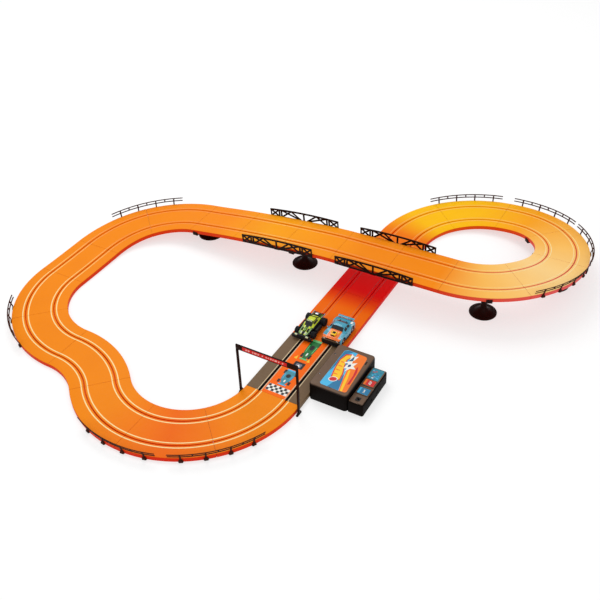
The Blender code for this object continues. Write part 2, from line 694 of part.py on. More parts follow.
def car_chassis(car, frame):
    """A floor plate with a bearing block beside each wheel, bored for the axles and the guide's stem."""
    half_plate = 13.0 * MM
    low, high = CHASSIS_LOW, CHASSIS_LOW + CHASSIS_PLATE
    plate = box_mesh((-half_plate, car["nose"] * MM, low), (half_plate, car["tail"] * MM, high))
    chassis = add_part(car["name"] + "_chassis", plate, "chassis", parent=frame)
    for y, radius, _ in car["axles"].values():
        centre_z = radius * MM + RIDE_GAP
        for side in (-1, 1):
            span = sorted((side * 8.5 * MM, side * 12.0 * MM))
            block = box_mesh((span[0], (y - 3.5) * MM, low + 0.5 * MM),
                             (span[1], (y + 3.5) * MM, centre_z + 3 * MM))
            combine(chassis, block, "UNION")
        ends = [(side * 1.5 * half_plate, y * MM, centre_z) for side in (-1, 1)]
        bore = cylinder_mesh(AXLE_RADIUS + BEARING_GAP, *ends, 12)
        combine(chassis, bore, "DIFFERENCE")
    guide_y = car["guide"] * MM
    stem = cylinder_mesh(GUIDE_STEM_RADIUS + GAP, (0, guide_y, 0), (0, guide_y, 0.01), 12)
    combine(chassis, stem, "DIFFERENCE")


def car_wheels(car, frame, end):
    """An axle with its two wheels, and the driven gear on the rear one, turned about the axle."""
    y, radius, width = car["axles"][end]
    tread, wheel, hub = car["outer"] * MM, radius * MM, 0.45 * radius * MM
    inner = tread - width * MM
    half = [(0, tread - 0.8 * MM), (hub, tread - 0.8 * MM), (wheel * 0.8, tread), (wheel, tread - MM),
            (wheel, inner + MM), (wheel * 0.8, inner), (AXLE_RADIUS, inner)]
    far, near = 5.5 * MM, 2.5 * MM
    gear = [(AXLE_RADIUS, far), (GEAR_RADIUS, far), (GEAR_RADIUS, near), (AXLE_RADIUS, near)]
    other = [(r, -x) for r, x in reversed(half)]
    profile = half + (gear if end == "rear" else []) + other
    centre = (0, y * MM, wheel + RIDE_GAP)
    turned(f"{car['name']}_{end}_wheels", profile, "tyre", 16, axis="X", location=centre, parent=frame)


def car_motor(car, frame):
    y, radius, _ = car["axles"]["rear"]
    low = CHASSIS_LOW + CHASSIS_PLATE + GAP
    end = (y - 6.5) * MM
    can = box_mesh((-6 * MM, end - 17 * MM, low), (6 * MM, end, low + 8.5 * MM))
    motor = add_part(car["name"] + "_motor", can, "motor", parent=frame)
    bevel(motor, 2.5 * MM, 2, math.radians(60))


def car_guide(car, frame):
    """A stem through the chassis, a disc that carries the pick-ups, and a blade that runs in the slot."""
    profile = [(0, 6.6 * MM), (GUIDE_STEM_RADIUS, 6.6 * MM), (GUIDE_STEM_RADIUS, 2.4 * MM),
               (6 * MM, 2.4 * MM), (6 * MM, 1.2 * MM), (0, 1.2 * MM)]
    centre = (0, car["guide"] * MM, 0)
    guide = turned(car["name"] + "_guide", profile, "chassis", 12, location=centre, parent=frame)
    half = GUIDE_BLADE / 2
    blade = box_mesh((-half.x, -half.y, 1.6 * MM - GUIDE_BLADE.z - MM), (half.x, half.y, 1.6 * MM))
    combine(guide, blade, "UNION")


def make_car(car):
    frame = car_frame(car)
    car_body(car, frame)
    car_chassis(car, frame)
    for end in ("front", "rear"):
        car_wheels(car, frame, end)
    car_motor(car, frame)
    car_guide(car, frame)


def shade_round_parts():
    for part in PARTS.objects:
        if part.type == "MESH":
            part.data.shade_smooth()
            part.data.set_sharp_from_angle(angle=math.radians(30))


def centre_footprint():
    """Moves the whole set so that its footprint is centred on the origin."""
    bpy.context.view_layer.update()
    graph = bpy.context.evaluated_depsgraph_get()
    corners = []
    for part in PARTS.objects:
        if part.type == "MESH":
            solid = part.evaluated_get(graph)
            corners += [solid.matrix_world @ vertex.co for vertex in solid.data.vertices]
    points = np.array(corners)
    middle = (points.min(axis=0) + points.max(axis=0)) / 2
    SET_ORIGIN.location = (-middle[0], -middle[1], 0)
    bpy.context.view_layer.update()


make_track()
make_guardrails()
make_trusses()
make_piers()
make_gantry()
make_battery_box()
make_socket_block()
make_car(COUPE)
make_car(BUGGY)
shade_round_parts()
centre_footprint()
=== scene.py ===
"""Looks of the two-lane slot car track set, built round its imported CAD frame.

The circuit is walked piece by piece as in the CAD model, so that every fine track piece, contact rail and
guardrail lies exactly where its CAD node does. Units are metres, and MM turns millimetres into them.
"""
import math
import random

import bmesh
import bpy
import numpy as np
from mathutils import Matrix, Vector


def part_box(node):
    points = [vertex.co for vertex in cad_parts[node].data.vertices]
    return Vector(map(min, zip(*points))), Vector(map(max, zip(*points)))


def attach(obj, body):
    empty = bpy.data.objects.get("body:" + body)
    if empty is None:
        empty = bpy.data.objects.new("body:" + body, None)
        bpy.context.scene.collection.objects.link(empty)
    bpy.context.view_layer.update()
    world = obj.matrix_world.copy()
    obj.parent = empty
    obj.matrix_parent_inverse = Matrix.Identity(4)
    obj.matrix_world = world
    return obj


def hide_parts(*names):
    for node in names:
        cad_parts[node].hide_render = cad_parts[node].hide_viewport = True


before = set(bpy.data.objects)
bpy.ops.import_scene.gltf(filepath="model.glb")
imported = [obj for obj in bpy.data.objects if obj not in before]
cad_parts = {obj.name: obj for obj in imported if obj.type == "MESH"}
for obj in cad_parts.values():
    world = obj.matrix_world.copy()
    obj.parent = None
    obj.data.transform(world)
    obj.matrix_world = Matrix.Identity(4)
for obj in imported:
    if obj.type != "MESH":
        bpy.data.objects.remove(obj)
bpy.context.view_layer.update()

MM = 0.001

# Track system, as in the CAD model
CURVE_RADIUS = 0.250
CURVE_ANGLE = math.radians(45)
STRAIGHT_LENGTH = (2 + math.sqrt(2)) * CURVE_RADIUS / 5
BASE_LENGTH = (4 - math.sqrt(2)) * CURVE_RADIUS - 2 * STRAIGHT_LENGTH
TRACK_WIDTH = 0.161
LANE_OFFSET = 0.0405
DECK_HEIGHT = 0.013
DECK_THICKNESS = 1.8 * MM
SLOT_WIDTH = 3.6 * MM
SLOT_DEPTH = 6.0 * MM
SLOT_CHAMFER = 0.5 * MM
EDGE_RADIUS = 1.6 * MM
EDGE_STEPS = 4
JOINT_GAP = 0.6 * MM
TONGUE_THICKNESS = 1.2 * MM
TONGUE_REACH = 4.0 * MM
TONGUE_CLEARANCE = 0.4 * MM
CURVE_STEPS = 24
STRAIGHT_STEPS = 10
PRINT_END = 0.2425

# The circuit in travel order: CAD node's kind, and height in mm of its start above the ground-level deck
CIRCUIT = [
    ("base", 0), ("straight", 0), ("straight", 0), ("straight", 0),
    ("right", 0), ("right", 6), ("right", 19), ("right", 46), ("right", 75), ("right", 97),
    ("straight", 101), ("straight", 99), ("straight", 97), ("straight", 86), ("straight", 69),
    ("left", 46), ("left", 22), ("straight", 3),
    ("left", 0), ("left", 0), ("right", 0), ("left", 0), ("left", 0), ("left", 0),
]

# Contact rails: flat strips either side of each slot
RAIL_OFFSET = 8.0 * MM
RAIL_WIDTH = 2.4 * MM
BROAD_RAIL_WIDTH = 3.2 * MM
BROAD_RAIL_PIECES = (0, *range(17, 24))
RAIL_RISE = 0.45 * MM
RAIL_SUNK = 0.6 * MM
RAIL_FLAT = 0.6
RAIL_SHOULDER = 0.4

# The track's colour drifts along the circuit to paint the light and shade on it, redder in the bridge's
# painted shadow: index of the piece whose middle has each colour
DEEP_ORANGE = (242, 108, 10)
RED_ORANGE = (254, 24, 26)
WARM_ORANGE = (243, 120, 8)
GOLD = (252, 190, 7)
AMBER = (249, 162, 12)
HONEY = (252, 190, 90)
CREAM = (255, 214, 140)
PLAIN_ORANGE = (245, 138, 9)
TRACK_PAINTED_LIGHT = [
    (0.0, DEEP_ORANGE), (1.1, DEEP_ORANGE), (1.62, RED_ORANGE), (2.45, RED_ORANGE), (2.55, DEEP_ORANGE),
    (3.6, WARM_ORANGE), (4.1, GOLD), (5.0, GOLD), (6.0, AMBER), (7.0, HONEY), (8.0, CREAM), (9.0, HONEY),
    (9.6, PLAIN_ORANGE), (11.0, PLAIN_ORANGE), (13.0, AMBER), (14.0, PLAIN_ORANGE), (21.0, PLAIN_ORANGE),
    (22.0, DEEP_ORANGE), (23.0, PLAIN_ORANGE),
]
# Contact strips in the same way: painted reflections of the plastic and the room on the bare metal
IVORY = (255, 226, 160)
STRAW = (254, 196, 104)
COPPERY = (250, 153, 74)
CRIMSON = (206, 51, 50)
RAIL_PAINTED_REFLECTIONS = [
    (0.0, IVORY), (0.6, COPPERY), (1.5, CRIMSON), (2.4, CRIMSON), (2.6, COPPERY), (3.5, COPPERY),
    (4.2, STRAW),
    (6.0, STRAW), (7.0, IVORY), (8.5, IVORY), (9.4, STRAW), (10.0, COPPERY), (11.5, COPPERY), (12.6, STRAW),
    (14.0, COPPERY), (16.0, COPPERY), (17.2, STRAW), (18.0, IVORY), (23.0, IVORY),
]

# Guardrails: index of the piece that each is centred on, and how far along it; heights above the deck
GUARDS = [(5, 0.41), (6, 0.5), (7, 0.5), (8, 0.5), (15, 0.98), (19, 0.12), (21, 0.97), (23, 0.02)]
GUARD_SPAN = math.radians(42.2)
GUARD_OFFSET = TRACK_WIDTH / 2 + 2.0 * MM
GUARD_THICKNESS = 2.4 * MM
GUARD_TOP = 19.8 * MM
GUARD_BAR = 2.6 * MM
GUARD_LOWER_BAR = 9.0 * MM
GUARD_FOOT = -12.0 * MM
GUARD_LEAN = 0.28
GUARD_POSTS = 4
GUARD_OVERHANG = 0.50
GUARD_STEPS = 28
GUARD_POST_HALF = (2.1 * MM, 1.05 * MM)
GUARD_SPACER_HALF = (1.9 * MM, 1.0 * MM)
# The clip at a post's foot, from the bottom up: half width, reach outwards and height, in mm
GUARD_CLIP = [(6.4, 2.6, -12.6), (6.8, 2.9, -10.6), (5.4, 2.5, -6.6), (3.0, 1.6, -3.4)]

# Bridge trusses
TRUSS_LENGTH = 0.248
TRUSS_THICKNESS = 3.0 * MM
TRUSS_BAR = 5.2 * MM
TRUSS_WEB = 2.7 * MM
TRUSS_HEIGHT = 27.5 * MM
TRUSS_ARCH = 5.0 * MM
TRUSS_SINK = 1.4 * MM
TRUSS_END_POST = 2.1 * MM
# Where the web bars meet the chords, each side of the truss's middle
TRUSS_END = 121.8 * MM
TRUSS_POST = 91.0 * MM
TRUSS_SECOND = 83.0 * MM
TRUSS_APEX = 46.0 * MM
TRUSS_FOOT = 8.0 * MM

# Piers: index of the piece each stands under, and how far along that piece
PIERS = [(6, 1.0), (7, 1.0), (9, 0.45), (12, 0.77), (14, 0.88)]
PIER_BASE_RADIUS = 0.040
PIER_STEM_RADIUS = 8.5 * MM
PIER_CONE_HEIGHT = 15.0 * MM
PIER_BAR_LENGTH = 18.0 * MM
PIER_BAR_THICKNESS = 3.0 * MM
PIER_CLIP_RISE = 9.0 * MM
PIER_CLIP_THICKNESS = 2.0 * MM
PIER_SIDES = 56
PIER_GAP = 0.3 * MM
PIER_BRACKETS_ABOVE = 30 * MM

BODY = "track_set"


# Layout ----------------------------------------------------------------------------------------------------
LENGTHS = {"base": BASE_LENGTH, "straight": STRAIGHT_LENGTH,
           "left": CURVE_RADIUS * CURVE_ANGLE, "right": CURVE_RADIUS * CURVE_ANGLE}
BENDS = {"base": 0, "straight": 0, "left": 1, "right": -1}
STATIONS = np.concatenate([[0], np.cumsum([LENGTHS[kind] for kind, _ in CIRCUIT])])
HEIGHTS = np.array([height for _, height in CIRCUIT] + [0]) * MM


def set_origin():
    """The start of the circuit's centre line, on the floor."""
    low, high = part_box("start_straight")
    return Vector(((low.x + high.x) / 2, low.y - JOINT_GAP / 2, 0))


def joint_slopes():
    """The climb at each joint that keeps the deck's slope smooth and never overshoots its heights."""
    climbs = np.diff(HEIGHTS) / np.diff(STATIONS)
    slopes = np.zeros(len(HEIGHTS))
    for i in range(1, len(HEIGHTS) - 1):
        before, after = climbs[i - 1], climbs[i]
        if before * after > 0:
            slopes[i] = 2 * before * after / (before + after)
    return slopes


ORIGIN = set_origin()
SLOPES = joint_slopes()


def deck_rise(station):
    """Height of the deck above its ground level, at a distance along the circuit."""
    i = int(np.clip(np.searchsorted(STATIONS, station, side="right") - 1, 0, len(CIRCUIT) - 1))
    length = STATIONS[i + 1] - STATIONS[i]
    t = (station - STATIONS[i]) / length
    start = (1 + 2 * t) * (1 - t) ** 2 * HEIGHTS[i] + t * (1 - t) ** 2 * length * SLOPES[i]
    end = t * t * (3 - 2 * t) * HEIGHTS[i + 1] + t * t * (t - 1) * length * SLOPES[i + 1]
    return start + end


def deck_climb(station):
    return (deck_rise(station + MM) - deck_rise(station - MM)) / (2 * MM)


def local_place(kind, distance):
    """Where a piece's centre line has got to after a distance, and how far it has turned."""
    bend = BENDS[kind]
    if not bend:
        return Vector((distance, 0)), 0.0
    angle = distance / CURVE_RADIUS
    place = Vector((math.sin(angle), bend * (1 - math.cos(angle)))) * CURVE_RADIUS
    return place, bend * angle


def walk_circuit():
    """The position and heading of each piece's start."""
    place, heading = Vector((ORIGIN.x, ORIGIN.y)), math.radians(90)
    starts = []
    for kind, _ in CIRCUIT:
        starts.append((place, heading))
        step, turn = local_place(kind, LENGTHS[kind])
        place = place + Matrix.Rotation(heading, 2) @ step
        heading += turn
    return starts


STARTS = walk_circuit()


def on_track(piece, distance, lateral=0.0, rise=0.0):
    """A point at a distance along a piece, to the left of its centre line, and above its deck."""
    start, heading = STARTS[piece]
    step, turn = local_place(CIRCUIT[piece][0], distance)
    place = start + Matrix.Rotation(heading, 2) @ step
    left = heading + turn + math.radians(90)
    place = place + lateral * Vector((math.cos(left), math.sin(left)))
    return Vector((*place, DECK_HEIGHT + deck_rise(STATIONS[piece] + distance) + rise))


def node_names():
    """The CAD node of each piece of the circuit."""
    counts = {"straight": 0, "left": 0, "right": 0}
    names = []
    for kind, _ in CIRCUIT:
        if kind == "base":
            names.append("start_straight")
            continue
        counts[kind] += 1
        names.append(f"straight_{counts[kind]}" if kind == "straight" else f"curve_{kind}_{counts[kind]}")
    return names


# Materials -------------------------------------------------------------------------------------------------
def srgb(red, green, blue):
    """Linear colour from 0 to 255 screen values."""
    def linear(value):
        value /= 255
        return value / 12.92 if value <= 0.04045 else ((value + 0.055) / 1.055) ** 2.4
    return (linear(red), linear(green), linear(blue), 1.0)


class Nodes:
    """Short calls for building one material's node tree."""

    def __init__(self, name):
        self.material = bpy.data.materials.new(name)
        self.material.use_nodes = True
        self.tree = self.material.node_tree
        self.shader = self.tree.nodes["Principled BSDF"]

    def node(self, kind, **settings):
        made = self.tree.nodes.new(kind)
        for key, value in settings.items():
            if hasattr(made, key):
                setattr(made, key, value)
            else:
                made.inputs[key].default_value = value
        return made

    def link(self, source, target):
        self.tree.links.new(source, target)

    def noise(self, scale, detail=2.0):
        coordinates = self.node("ShaderNodeTexCoord")
        noise = self.node("ShaderNodeTexNoise", Scale=scale, Detail=detail)
        self.link(coordinates.outputs["Object"], noise.inputs["Vector"])
        return noise.outputs["Fac"]

    def ranged(self, value, **limits):
        """Maps a value from one range onto another, as a Map Range node does."""
        mapped = self.node("ShaderNodeMapRange")
        for socket, number in limits.items():
            mapped.inputs[socket.replace("_", " ").title()].default_value = number
        self.link(value, mapped.inputs["Value"])
        return mapped.outputs["Result"]

    def spread(self, value, low, high):
        """Maps a noise's middle range onto low to high."""
        return self.ranged(value, from_min=0.3, from_max=0.7, to_min=low, to_max=high)

    def facing_up(self, normal, low, high):
        """0 where a face is upright or hangs over, 1 where it looks up."""
        geometry = self.node("ShaderNodeNewGeometry")
        axes = self.node("ShaderNodeSeparateXYZ")
        self.link(geometry.outputs[normal], axes.inputs["Vector"])
        return self.ranged(axes.outputs["Z"], from_min=low, from_max=high)

    def mix(self, factor, first, second, blend="MIX"):
        mixed = self.node("ShaderNodeMix", data_type="RGBA", blend_type=blend)
        for socket, value in ((mixed.inputs[0], factor), (mixed.inputs[6], first),
                              (mixed.inputs[7], second)):
            if isinstance(value, bpy.types.NodeSocket):
                self.link(value, socket)
            else:
                socket.default_value = value
        return mixed.outputs[2]

    def tinted(self, colour, cast):
        return self.mix(1.0, colour, (*cast, 1), "MULTIPLY")

    def clouded(self, colour, cast, scale, detail):
        """The colour with soft patches of a slightly different cast."""
        cloud = self.spread(self.noise(scale, detail), 0.0, 1.0)
        return self.mix(cloud, self.tinted(colour, cast), colour)

    def bump(self, height, strength, distance):
        bump = self.node("ShaderNodeBump", Strength=strength, Distance=distance)
        self.link(height, bump.inputs["Height"])
        self.link(bump.outputs["Normal"], self.shader.inputs["Normal"])

    def finish(self, colour, roughness, metallic=0.0, coat=0.0, sheen=0.5):
        inputs = self.shader.inputs
        for socket, value in ((inputs["Base Color"], colour), (inputs["Roughness"], roughness)):
            if isinstance(value, bpy.types.NodeSocket):
                self.link(value, socket)
            else:
                socket.default_value = value
        inputs["Metallic"].default_value = metallic
        inputs["Coat Weight"].default_value = coat
        inputs["Coat Roughness"].default_value = 0.12
        inputs["Specular IOR Level"].default_value = sheen
        return self.material


def shade(colour, factor):
    return tuple(min(1.0, channel * factor) for channel in colour[:3]) + (1.0,)


def moulded(name, colour, roughness=0.4, grain=0.12, grain_scale=1400, blotch=0.05, coat=0.0, metallic=0.0,
            sheen=0.22):
    """Moulded plastic, rubber or plated metal, with faint colour and gloss variation and a fine grain."""
    nodes = Nodes(name)
    tone = nodes.mix(nodes.noise(28, 3), shade(colour, 1 - blotch), shade(colour, 1 + blotch))
    gloss = nodes.spread(nodes.noise(160, 4), roughness * 0.88, min(1.0, roughness * 1.12))
    nodes.bump(nodes.noise(grain_scale, 2), grain, 0.2 * MM)
    nodes.shader.inputs["Base Color"].default_value = colour
    return nodes.finish(tone, gloss, metallic=metallic, coat=coat, sheen=sheen)


def travel_ramp(nodes, tints):
    """A colour that drifts along the circuit, from a table of places and colours."""
    travel = nodes.node("ShaderNodeAttribute", attribute_name="travel")
    ramp = nodes.node("ShaderNodeValToRGB")
    stops = ramp.color_ramp.elements
    for number, (piece, colour) in enumerate(tints):
        place = (piece + 0.5) / len(CIRCUIT)
        stop = stops[number] if number < 2 else stops.new(place)
        stop.position = place
        stop.color = srgb(*colour)
    nodes.link(travel.outputs["Fac"], ramp.inputs["Fac"])
    return ramp.outputs["Color"]


# What multiplies the track's colour: painted shade on its skirts and in its slots, and its faint patches
SKIRT_PAINTED_SHADE = (0.76, 0.14, 0.36)
SLOT_PAINTED_SHADE = (1.0, 0.50, 1.2)
TRACK_CLOUD = (0.965, 0.94, 0.93)
SLOT_CLOUD = (0.93, 0.88, 0.88)
RAIL_CLOUD = (0.95, 0.93, 0.90)
# The battery box's lid: its brown from darkest to lightest, and its edges
LID_BROWNS = (srgb(96, 73, 56), srgb(112, 88, 70))
LID_EDGE = srgb(26, 14, 9)


def track_material():
    """Satin orange plastic whose colour drifts along the circuit with painted light and shade, deeper and
    redder on its sides with painted shade.
    """
    nodes = Nodes("track_orange")
    flat = travel_ramp(nodes, TRACK_PAINTED_LIGHT)
    colour = nodes.mix(nodes.facing_up("True Normal", 0.25, 0.85), nodes.tinted(flat, SKIRT_PAINTED_SHADE),
                       flat)
    colour = nodes.clouded(colour, TRACK_CLOUD, 9, 3)
    nodes.bump(nodes.noise(1500, 2), 0.10, 0.15 * MM)
    return nodes.finish(colour, nodes.spread(nodes.noise(140, 4), 0.38, 0.50), sheen=0.07)


def slot_material():
    """The slots' walls and floor: a redder cast of the track's plastic that paints the shade inside the
    slots.
    """
    nodes = Nodes("slot_red")
    colour = nodes.tinted(travel_ramp(nodes, TRACK_PAINTED_LIGHT), SLOT_PAINTED_SHADE)
    colour = nodes.clouded(colour, SLOT_CLOUD, 40, 3)
    nodes.bump(nodes.noise(1500, 2), 0.10, 0.15 * MM)
    return nodes.finish(colour, nodes.spread(nodes.noise(140, 4), 0.42, 0.54), sheen=0.1)


def rail_material():
    """Plated contact strip with painted reflections that drift along the circuit, faintly streaked and with
    an uneven gloss.
    """
    nodes = Nodes("contact_strip")
    colour = nodes.clouded(travel_ramp(nodes, RAIL_PAINTED_REFLECTIONS), RAIL_CLOUD, 90, 4)
    nodes.bump(nodes.noise(900, 2), 0.04, 0.1 * MM)
    return nodes.finish(colour, nodes.spread(nodes.noise(200, 4), 0.24, 0.36), sheen=0.2)


def lid_material():
    """Grained grey-brown plastic, darker where its rounded edges turn away from the light."""
    nodes = Nodes("box_lid")
    brown = nodes.mix(nodes.noise(28, 3), *LID_BROWNS)
    colour = nodes.mix(nodes.facing_up("Normal", 0.50, 0.99), LID_EDGE, brown)
    nodes.bump(nodes.noise(700, 2), 0.45, 0.2 * MM)
    return nodes.finish(colour, nodes.spread(nodes.noise(160, 4), 0.44, 0.56), sheen=0.2)


TRACK = track_material()
SLOT_RED = slot_material()
RAIL = rail_material()
BROWN = moulded("shoulder_brown", srgb(112, 88, 62), 0.55, 0.22, 1100)
PANEL = moulded("panel_orange", srgb(252, 106, 10), 0.45, 0.06, 1500, 0.03, sheen=0.08)
# Darker than the track, so that the tongues paint the shade seen down the joint gaps
TONGUE_SHADE = moulded("tongue_orange", srgb(150, 52, 20), 0.45, 0.10, 1500)
SLOT_BLACK = moulded("slot_black", srgb(20, 15, 12), 0.5)
TRIM = moulded("trim_dark_brown", srgb(31, 11, 7), 0.45, 0.16, 1300, 0.12, sheen=0.07)
GUARD_BROWN = moulded("guard_brown", srgb(56, 20, 9), 0.52, 0.16, 1300, 0.12, sheen=0.06)
BOX_LID = lid_material()
BOX_DARK = moulded("box_dark", srgb(13, 8, 6), 0.55, 0.30, 1000, sheen=0.03)
TAN = moulded("strip_tan", srgb(214, 190, 150), 0.35, 0.04, 900, 0.06)
WHITE = moulded("print_white", srgb(240, 238, 230), 0.35, 0.03, 1500, 0.02)
BLACK = moulded("print_black", srgb(22, 20, 22), 0.40, 0.03, 1500, 0.05)
GREY = moulded("print_grey", srgb(120, 122, 140), 0.40, 0.03, 1500, 0.12)
BLUE = moulded("print_blue", srgb(34, 116, 160), 0.35, 0.03, 60, 0.16)
CYAN = moulded("print_cyan", srgb(70, 180, 225), 0.35, 0.03, 60, 0.12)
NAVY = moulded("print_navy", srgb(24, 52, 110), 0.35, 0.03, 60, 0.12)
GREEN = moulded("print_green", srgb(20, 110, 48), 0.35, 0.03, 60, 0.16)
MINT = moulded("print_mint", srgb(110, 200, 120), 0.35, 0.03, 60, 0.16)
YELLOW = moulded("print_yellow", srgb(255, 196, 30), 0.35, 0.03, 60, 0.08)
ORANGE = moulded("print_orange", srgb(245, 120, 30), 0.35, 0.03, 60, 0.08)
RED = moulded("print_red", srgb(205, 34, 38), 0.35, 0.03, 60, 0.10)
PINK = moulded("banner_pink", srgb(238, 176, 168), 0.35, 0.03, 60, 0.06)
TEAL = moulded("print_teal", srgb(54, 138, 158), 0.35, 0.03, 60, 0.16)
TYRE = moulded("tyre_black", srgb(24, 24, 28), 0.72, 0.35, 1200, 0.10)
CHROME = moulded("hub_plated", srgb(176, 178, 184), 0.20, 0.04, 900, 0.04, metallic=1.0)
STEEL = moulded("motor_plated", srgb(168, 168, 172), 0.28, 0.05, 900, 0.05, metallic=1.0)
COPPER = moulded("braid_copper", srgb(190, 120, 70), 0.38, 0.60, 2200, 0.12, metallic=1.0)
CHASSIS = moulded("chassis_black", srgb(24, 23, 24), 0.50, 0.25, 1200, 0.10)
BOARD = moulded("board_green", srgb(38, 110, 62), 0.30, 0.05, 700, 0.10)
GLASS = moulded("window_smoke", srgb(22, 26, 32), 0.10, 0.02, 500, 0.08, coat=0.5)
COUPE_TEAL = moulded("coupe_teal", srgb(62, 154, 180), 0.22, 0.03, 900, 0.05, coat=0.6)
COUPE_ORANGE = moulded("coupe_orange", srgb(240, 118, 36), 0.22, 0.03, 900, 0.05, coat=0.6)
BUGGY_LIME = moulded("buggy_lime", srgb(200, 214, 38), 0.25, 0.03, 900, 0.06, coat=0.5)
BUGGY_GREEN = moulded("buggy_green", srgb(96, 140, 40), 0.28, 0.03, 900, 0.10, coat=0.4)
BUGGY_PALE = moulded("buggy_pale", srgb(206, 216, 170), 0.30, 0.03, 900, 0.05, coat=0.3)


# Mesh building ---------------------------------------------------------------------------------------------
ACROSS = Matrix.Rotation(math.radians(90), 4, "Y")


def circle_angles(sides):
    return [2 * math.pi * i / sides for i in range(sides)]


def loft(bm, rings, caps=True, slots=None):
    """Faces between closed rings of points. slots gives each side of a ring its material slot."""
    rows = [[bm.verts.new(point) for point in ring] for ring in rings]
    count = len(rows[0])
    for first, second in zip(rows, rows[1:]):
        for i in range(count):
            j = (i + 1) % count
            face = bm.faces.new((first[i], first[j], second[j], second[i]))
            if slots:
                face.material_index = slots[i]
    if caps:
        bm.faces.new(list(reversed(rows[0])))
        bm.faces.new(rows[-1])
    return rows


def merge(target, source, matrix=None, slot=0):
    """Moves a separate bmesh into another one and gives its faces a material slot."""
    if matrix is not None:
        source.transform(matrix)
    for face in source.faces:
        face.material_index = slot
    mesh = bpy.data.meshes.new("merged")
    source.to_mesh(mesh)
    source.free()
    target.from_mesh(mesh)
    bpy.data.meshes.remove(mesh)


def add_loft(bm, rings, matrix=None, slot=0, caps=True, weld=False):
    """A separate lofted solid with its faces turned outwards. weld closes it where its points meet."""
    solid = bmesh.new()
    loft(solid, rings, caps)
    if weld:
        bmesh.ops.remove_doubles(solid, verts=solid.verts, dist=0.001 * MM)
    bmesh.ops.recalc_face_normals(solid, faces=solid.faces)
    merge(bm, solid, matrix, slot)


def add_block(bm, low, high, radius=0.0, segments=2, matrix=None, slot=0):
    """A block with its edges rounded."""
    low, high = Vector(low), Vector(high)
    block = bmesh.new()
    bmesh.ops.create_cube(block, size=1)
    bmesh.ops.scale(block, verts=block.verts, vec=high - low)
    bmesh.ops.translate(block, verts=block.verts, vec=(low + high) / 2)
    if radius:
        bmesh.ops.bevel(block, geom=block.edges[:], offset=radius, segments=segments, profile=0.5,
                        affect="EDGES", clamp_overlap=True)
    merge(bm, block, matrix, slot)


def add_turned(bm, profile, centre=(0, 0, 0), sides=32, matrix=None, slot=0):
    """A solid turned about Z from (radius, height) points; its ends close on the axis or as flat discs."""
    centre = Vector(centre)
    rings = [[centre + Vector((radius * math.cos(a), radius * math.sin(a),
                               height)) for a in circle_angles(sides)]
             for radius, height in profile]
    add_loft(bm, rings, matrix, slot, weld=True)


def add_cylinder(bm, radius, low, high, centre=(0, 0, 0), sides=24, matrix=None, slot=0):
    add_turned(bm, [(0, low), (radius, low), (radius, high), (0, high)], centre, sides, matrix, slot)


def bar_section(across, up, chamfer):
    """An eight-sided bar section: half sizes, with its corners cut."""
    corners = []
    for x, y in ((1, 1), (-1, 1), (-1, -1), (1, -1)):
        pair = [(x * across, y * (up - chamfer)), (x * (across - chamfer), y * up)]
        corners += pair if x * y > 0 else pair[::-1]
    return corners


def add_bar(bm, start, end, side, across, up, chamfer=0.3 * MM, slot=0):
    """A straight bar between two points. side is the direction of its across half size."""
    start, end, side = Vector(start), Vector(end), Vector(side).normalized()
    rise = (end - start).normalized().cross(side)
    section = bar_section(across, up, chamfer)
    add_loft(bm, [[point + side * x + rise * y for x, y in section] for point in (start, end)], slot=slot)


def add_tube(bm, points, radius, sides=10, slot=0):
    """A round tube along points."""
    points = [Vector(point) for point in points]
    rings = []
    normal = None
    for i, point in enumerate(points):
        along = (points[min(i + 1, len(points) - 1)] - points[max(i - 1, 0)]).normalized()
        normal = along.orthogonal() if normal is None else (normal - along * normal.dot(along))
        normal.normalize()
        other = along.cross(normal)
        rings.append([point + radius * (normal * math.cos(a) + other * math.sin(a))
                      for a in circle_angles(sides)])
    add_loft(bm, rings, slot=slot)


def loose_piece(name, bm, materials, smooth=35):
    """An object that is still to be cut before it takes its body."""
    mesh = bpy.data.meshes.new(name)
    bm.to_mesh(mesh)
    bm.free()
    for material in materials:
        mesh.materials.append(material)
    mesh.shade_smooth()
    mesh.set_sharp_from_angle(angle=math.radians(smooth))
    piece = bpy.data.objects.new(name, mesh)
    bpy.context.scene.collection.objects.link(piece)
    return piece


def settle(piece, body, stands_for=()):
    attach(piece, body)
    if stands_for:
        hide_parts(*stands_for)


def make_piece(name, bm, materials, body=BODY, stands_for=()):
    piece = loose_piece(name, bm, materials)
    settle(piece, body, stands_for)
    return piece


def offset_line(points, distance):
    """The open line moved to its right by a distance, with mitred corners. A negative one moves it left."""
    points = [Vector(point) for point in points]
    normals = []
    for first, second in zip(points, points[1:]):
        along = (second - first).normalized()
        normals.append(Vector((along.y, -along.x)))
    moved = []
    for i, point in enumerate(points):
        before, after = normals[max(i - 1, 0)], normals[min(i, len(normals) - 1)]
        middle = (before + after).normalized()
        moved.append(point + middle * distance / middle.dot(before))
    return moved


# Track pieces ----------------------------------------------------------------------------------------------
def track_outline():
    """The outer skin's cross-section, from the left foot over the deck to the right foot."""
    edge = TRACK_WIDTH / 2
    slot_in, slot_out = LANE_OFFSET - SLOT_WIDTH / 2, LANE_OFFSET + SLOT_WIDTH / 2
    half = [(slot_in - SLOT_CHAMFER, 0), (slot_in, -SLOT_CHAMFER), (slot_in, -SLOT_DEPTH),
            (slot_out, -SLOT_DEPTH),
            (slot_out, -SLOT_CHAMFER), (slot_out + SLOT_CHAMFER, 0)]
    for step in range(EDGE_STEPS + 1):
        angle = math.radians(90) * (1 - step / EDGE_STEPS)
        half.append((edge - EDGE_RADIUS + EDGE_RADIUS * math.cos(angle),
                     EDGE_RADIUS * (math.sin(angle) - 1)))
    half.append((edge, 0.3 * MM - DECK_HEIGHT))
    return [(y, z) for y, z in reversed(half)] + [(-y, z) for y, z in half]


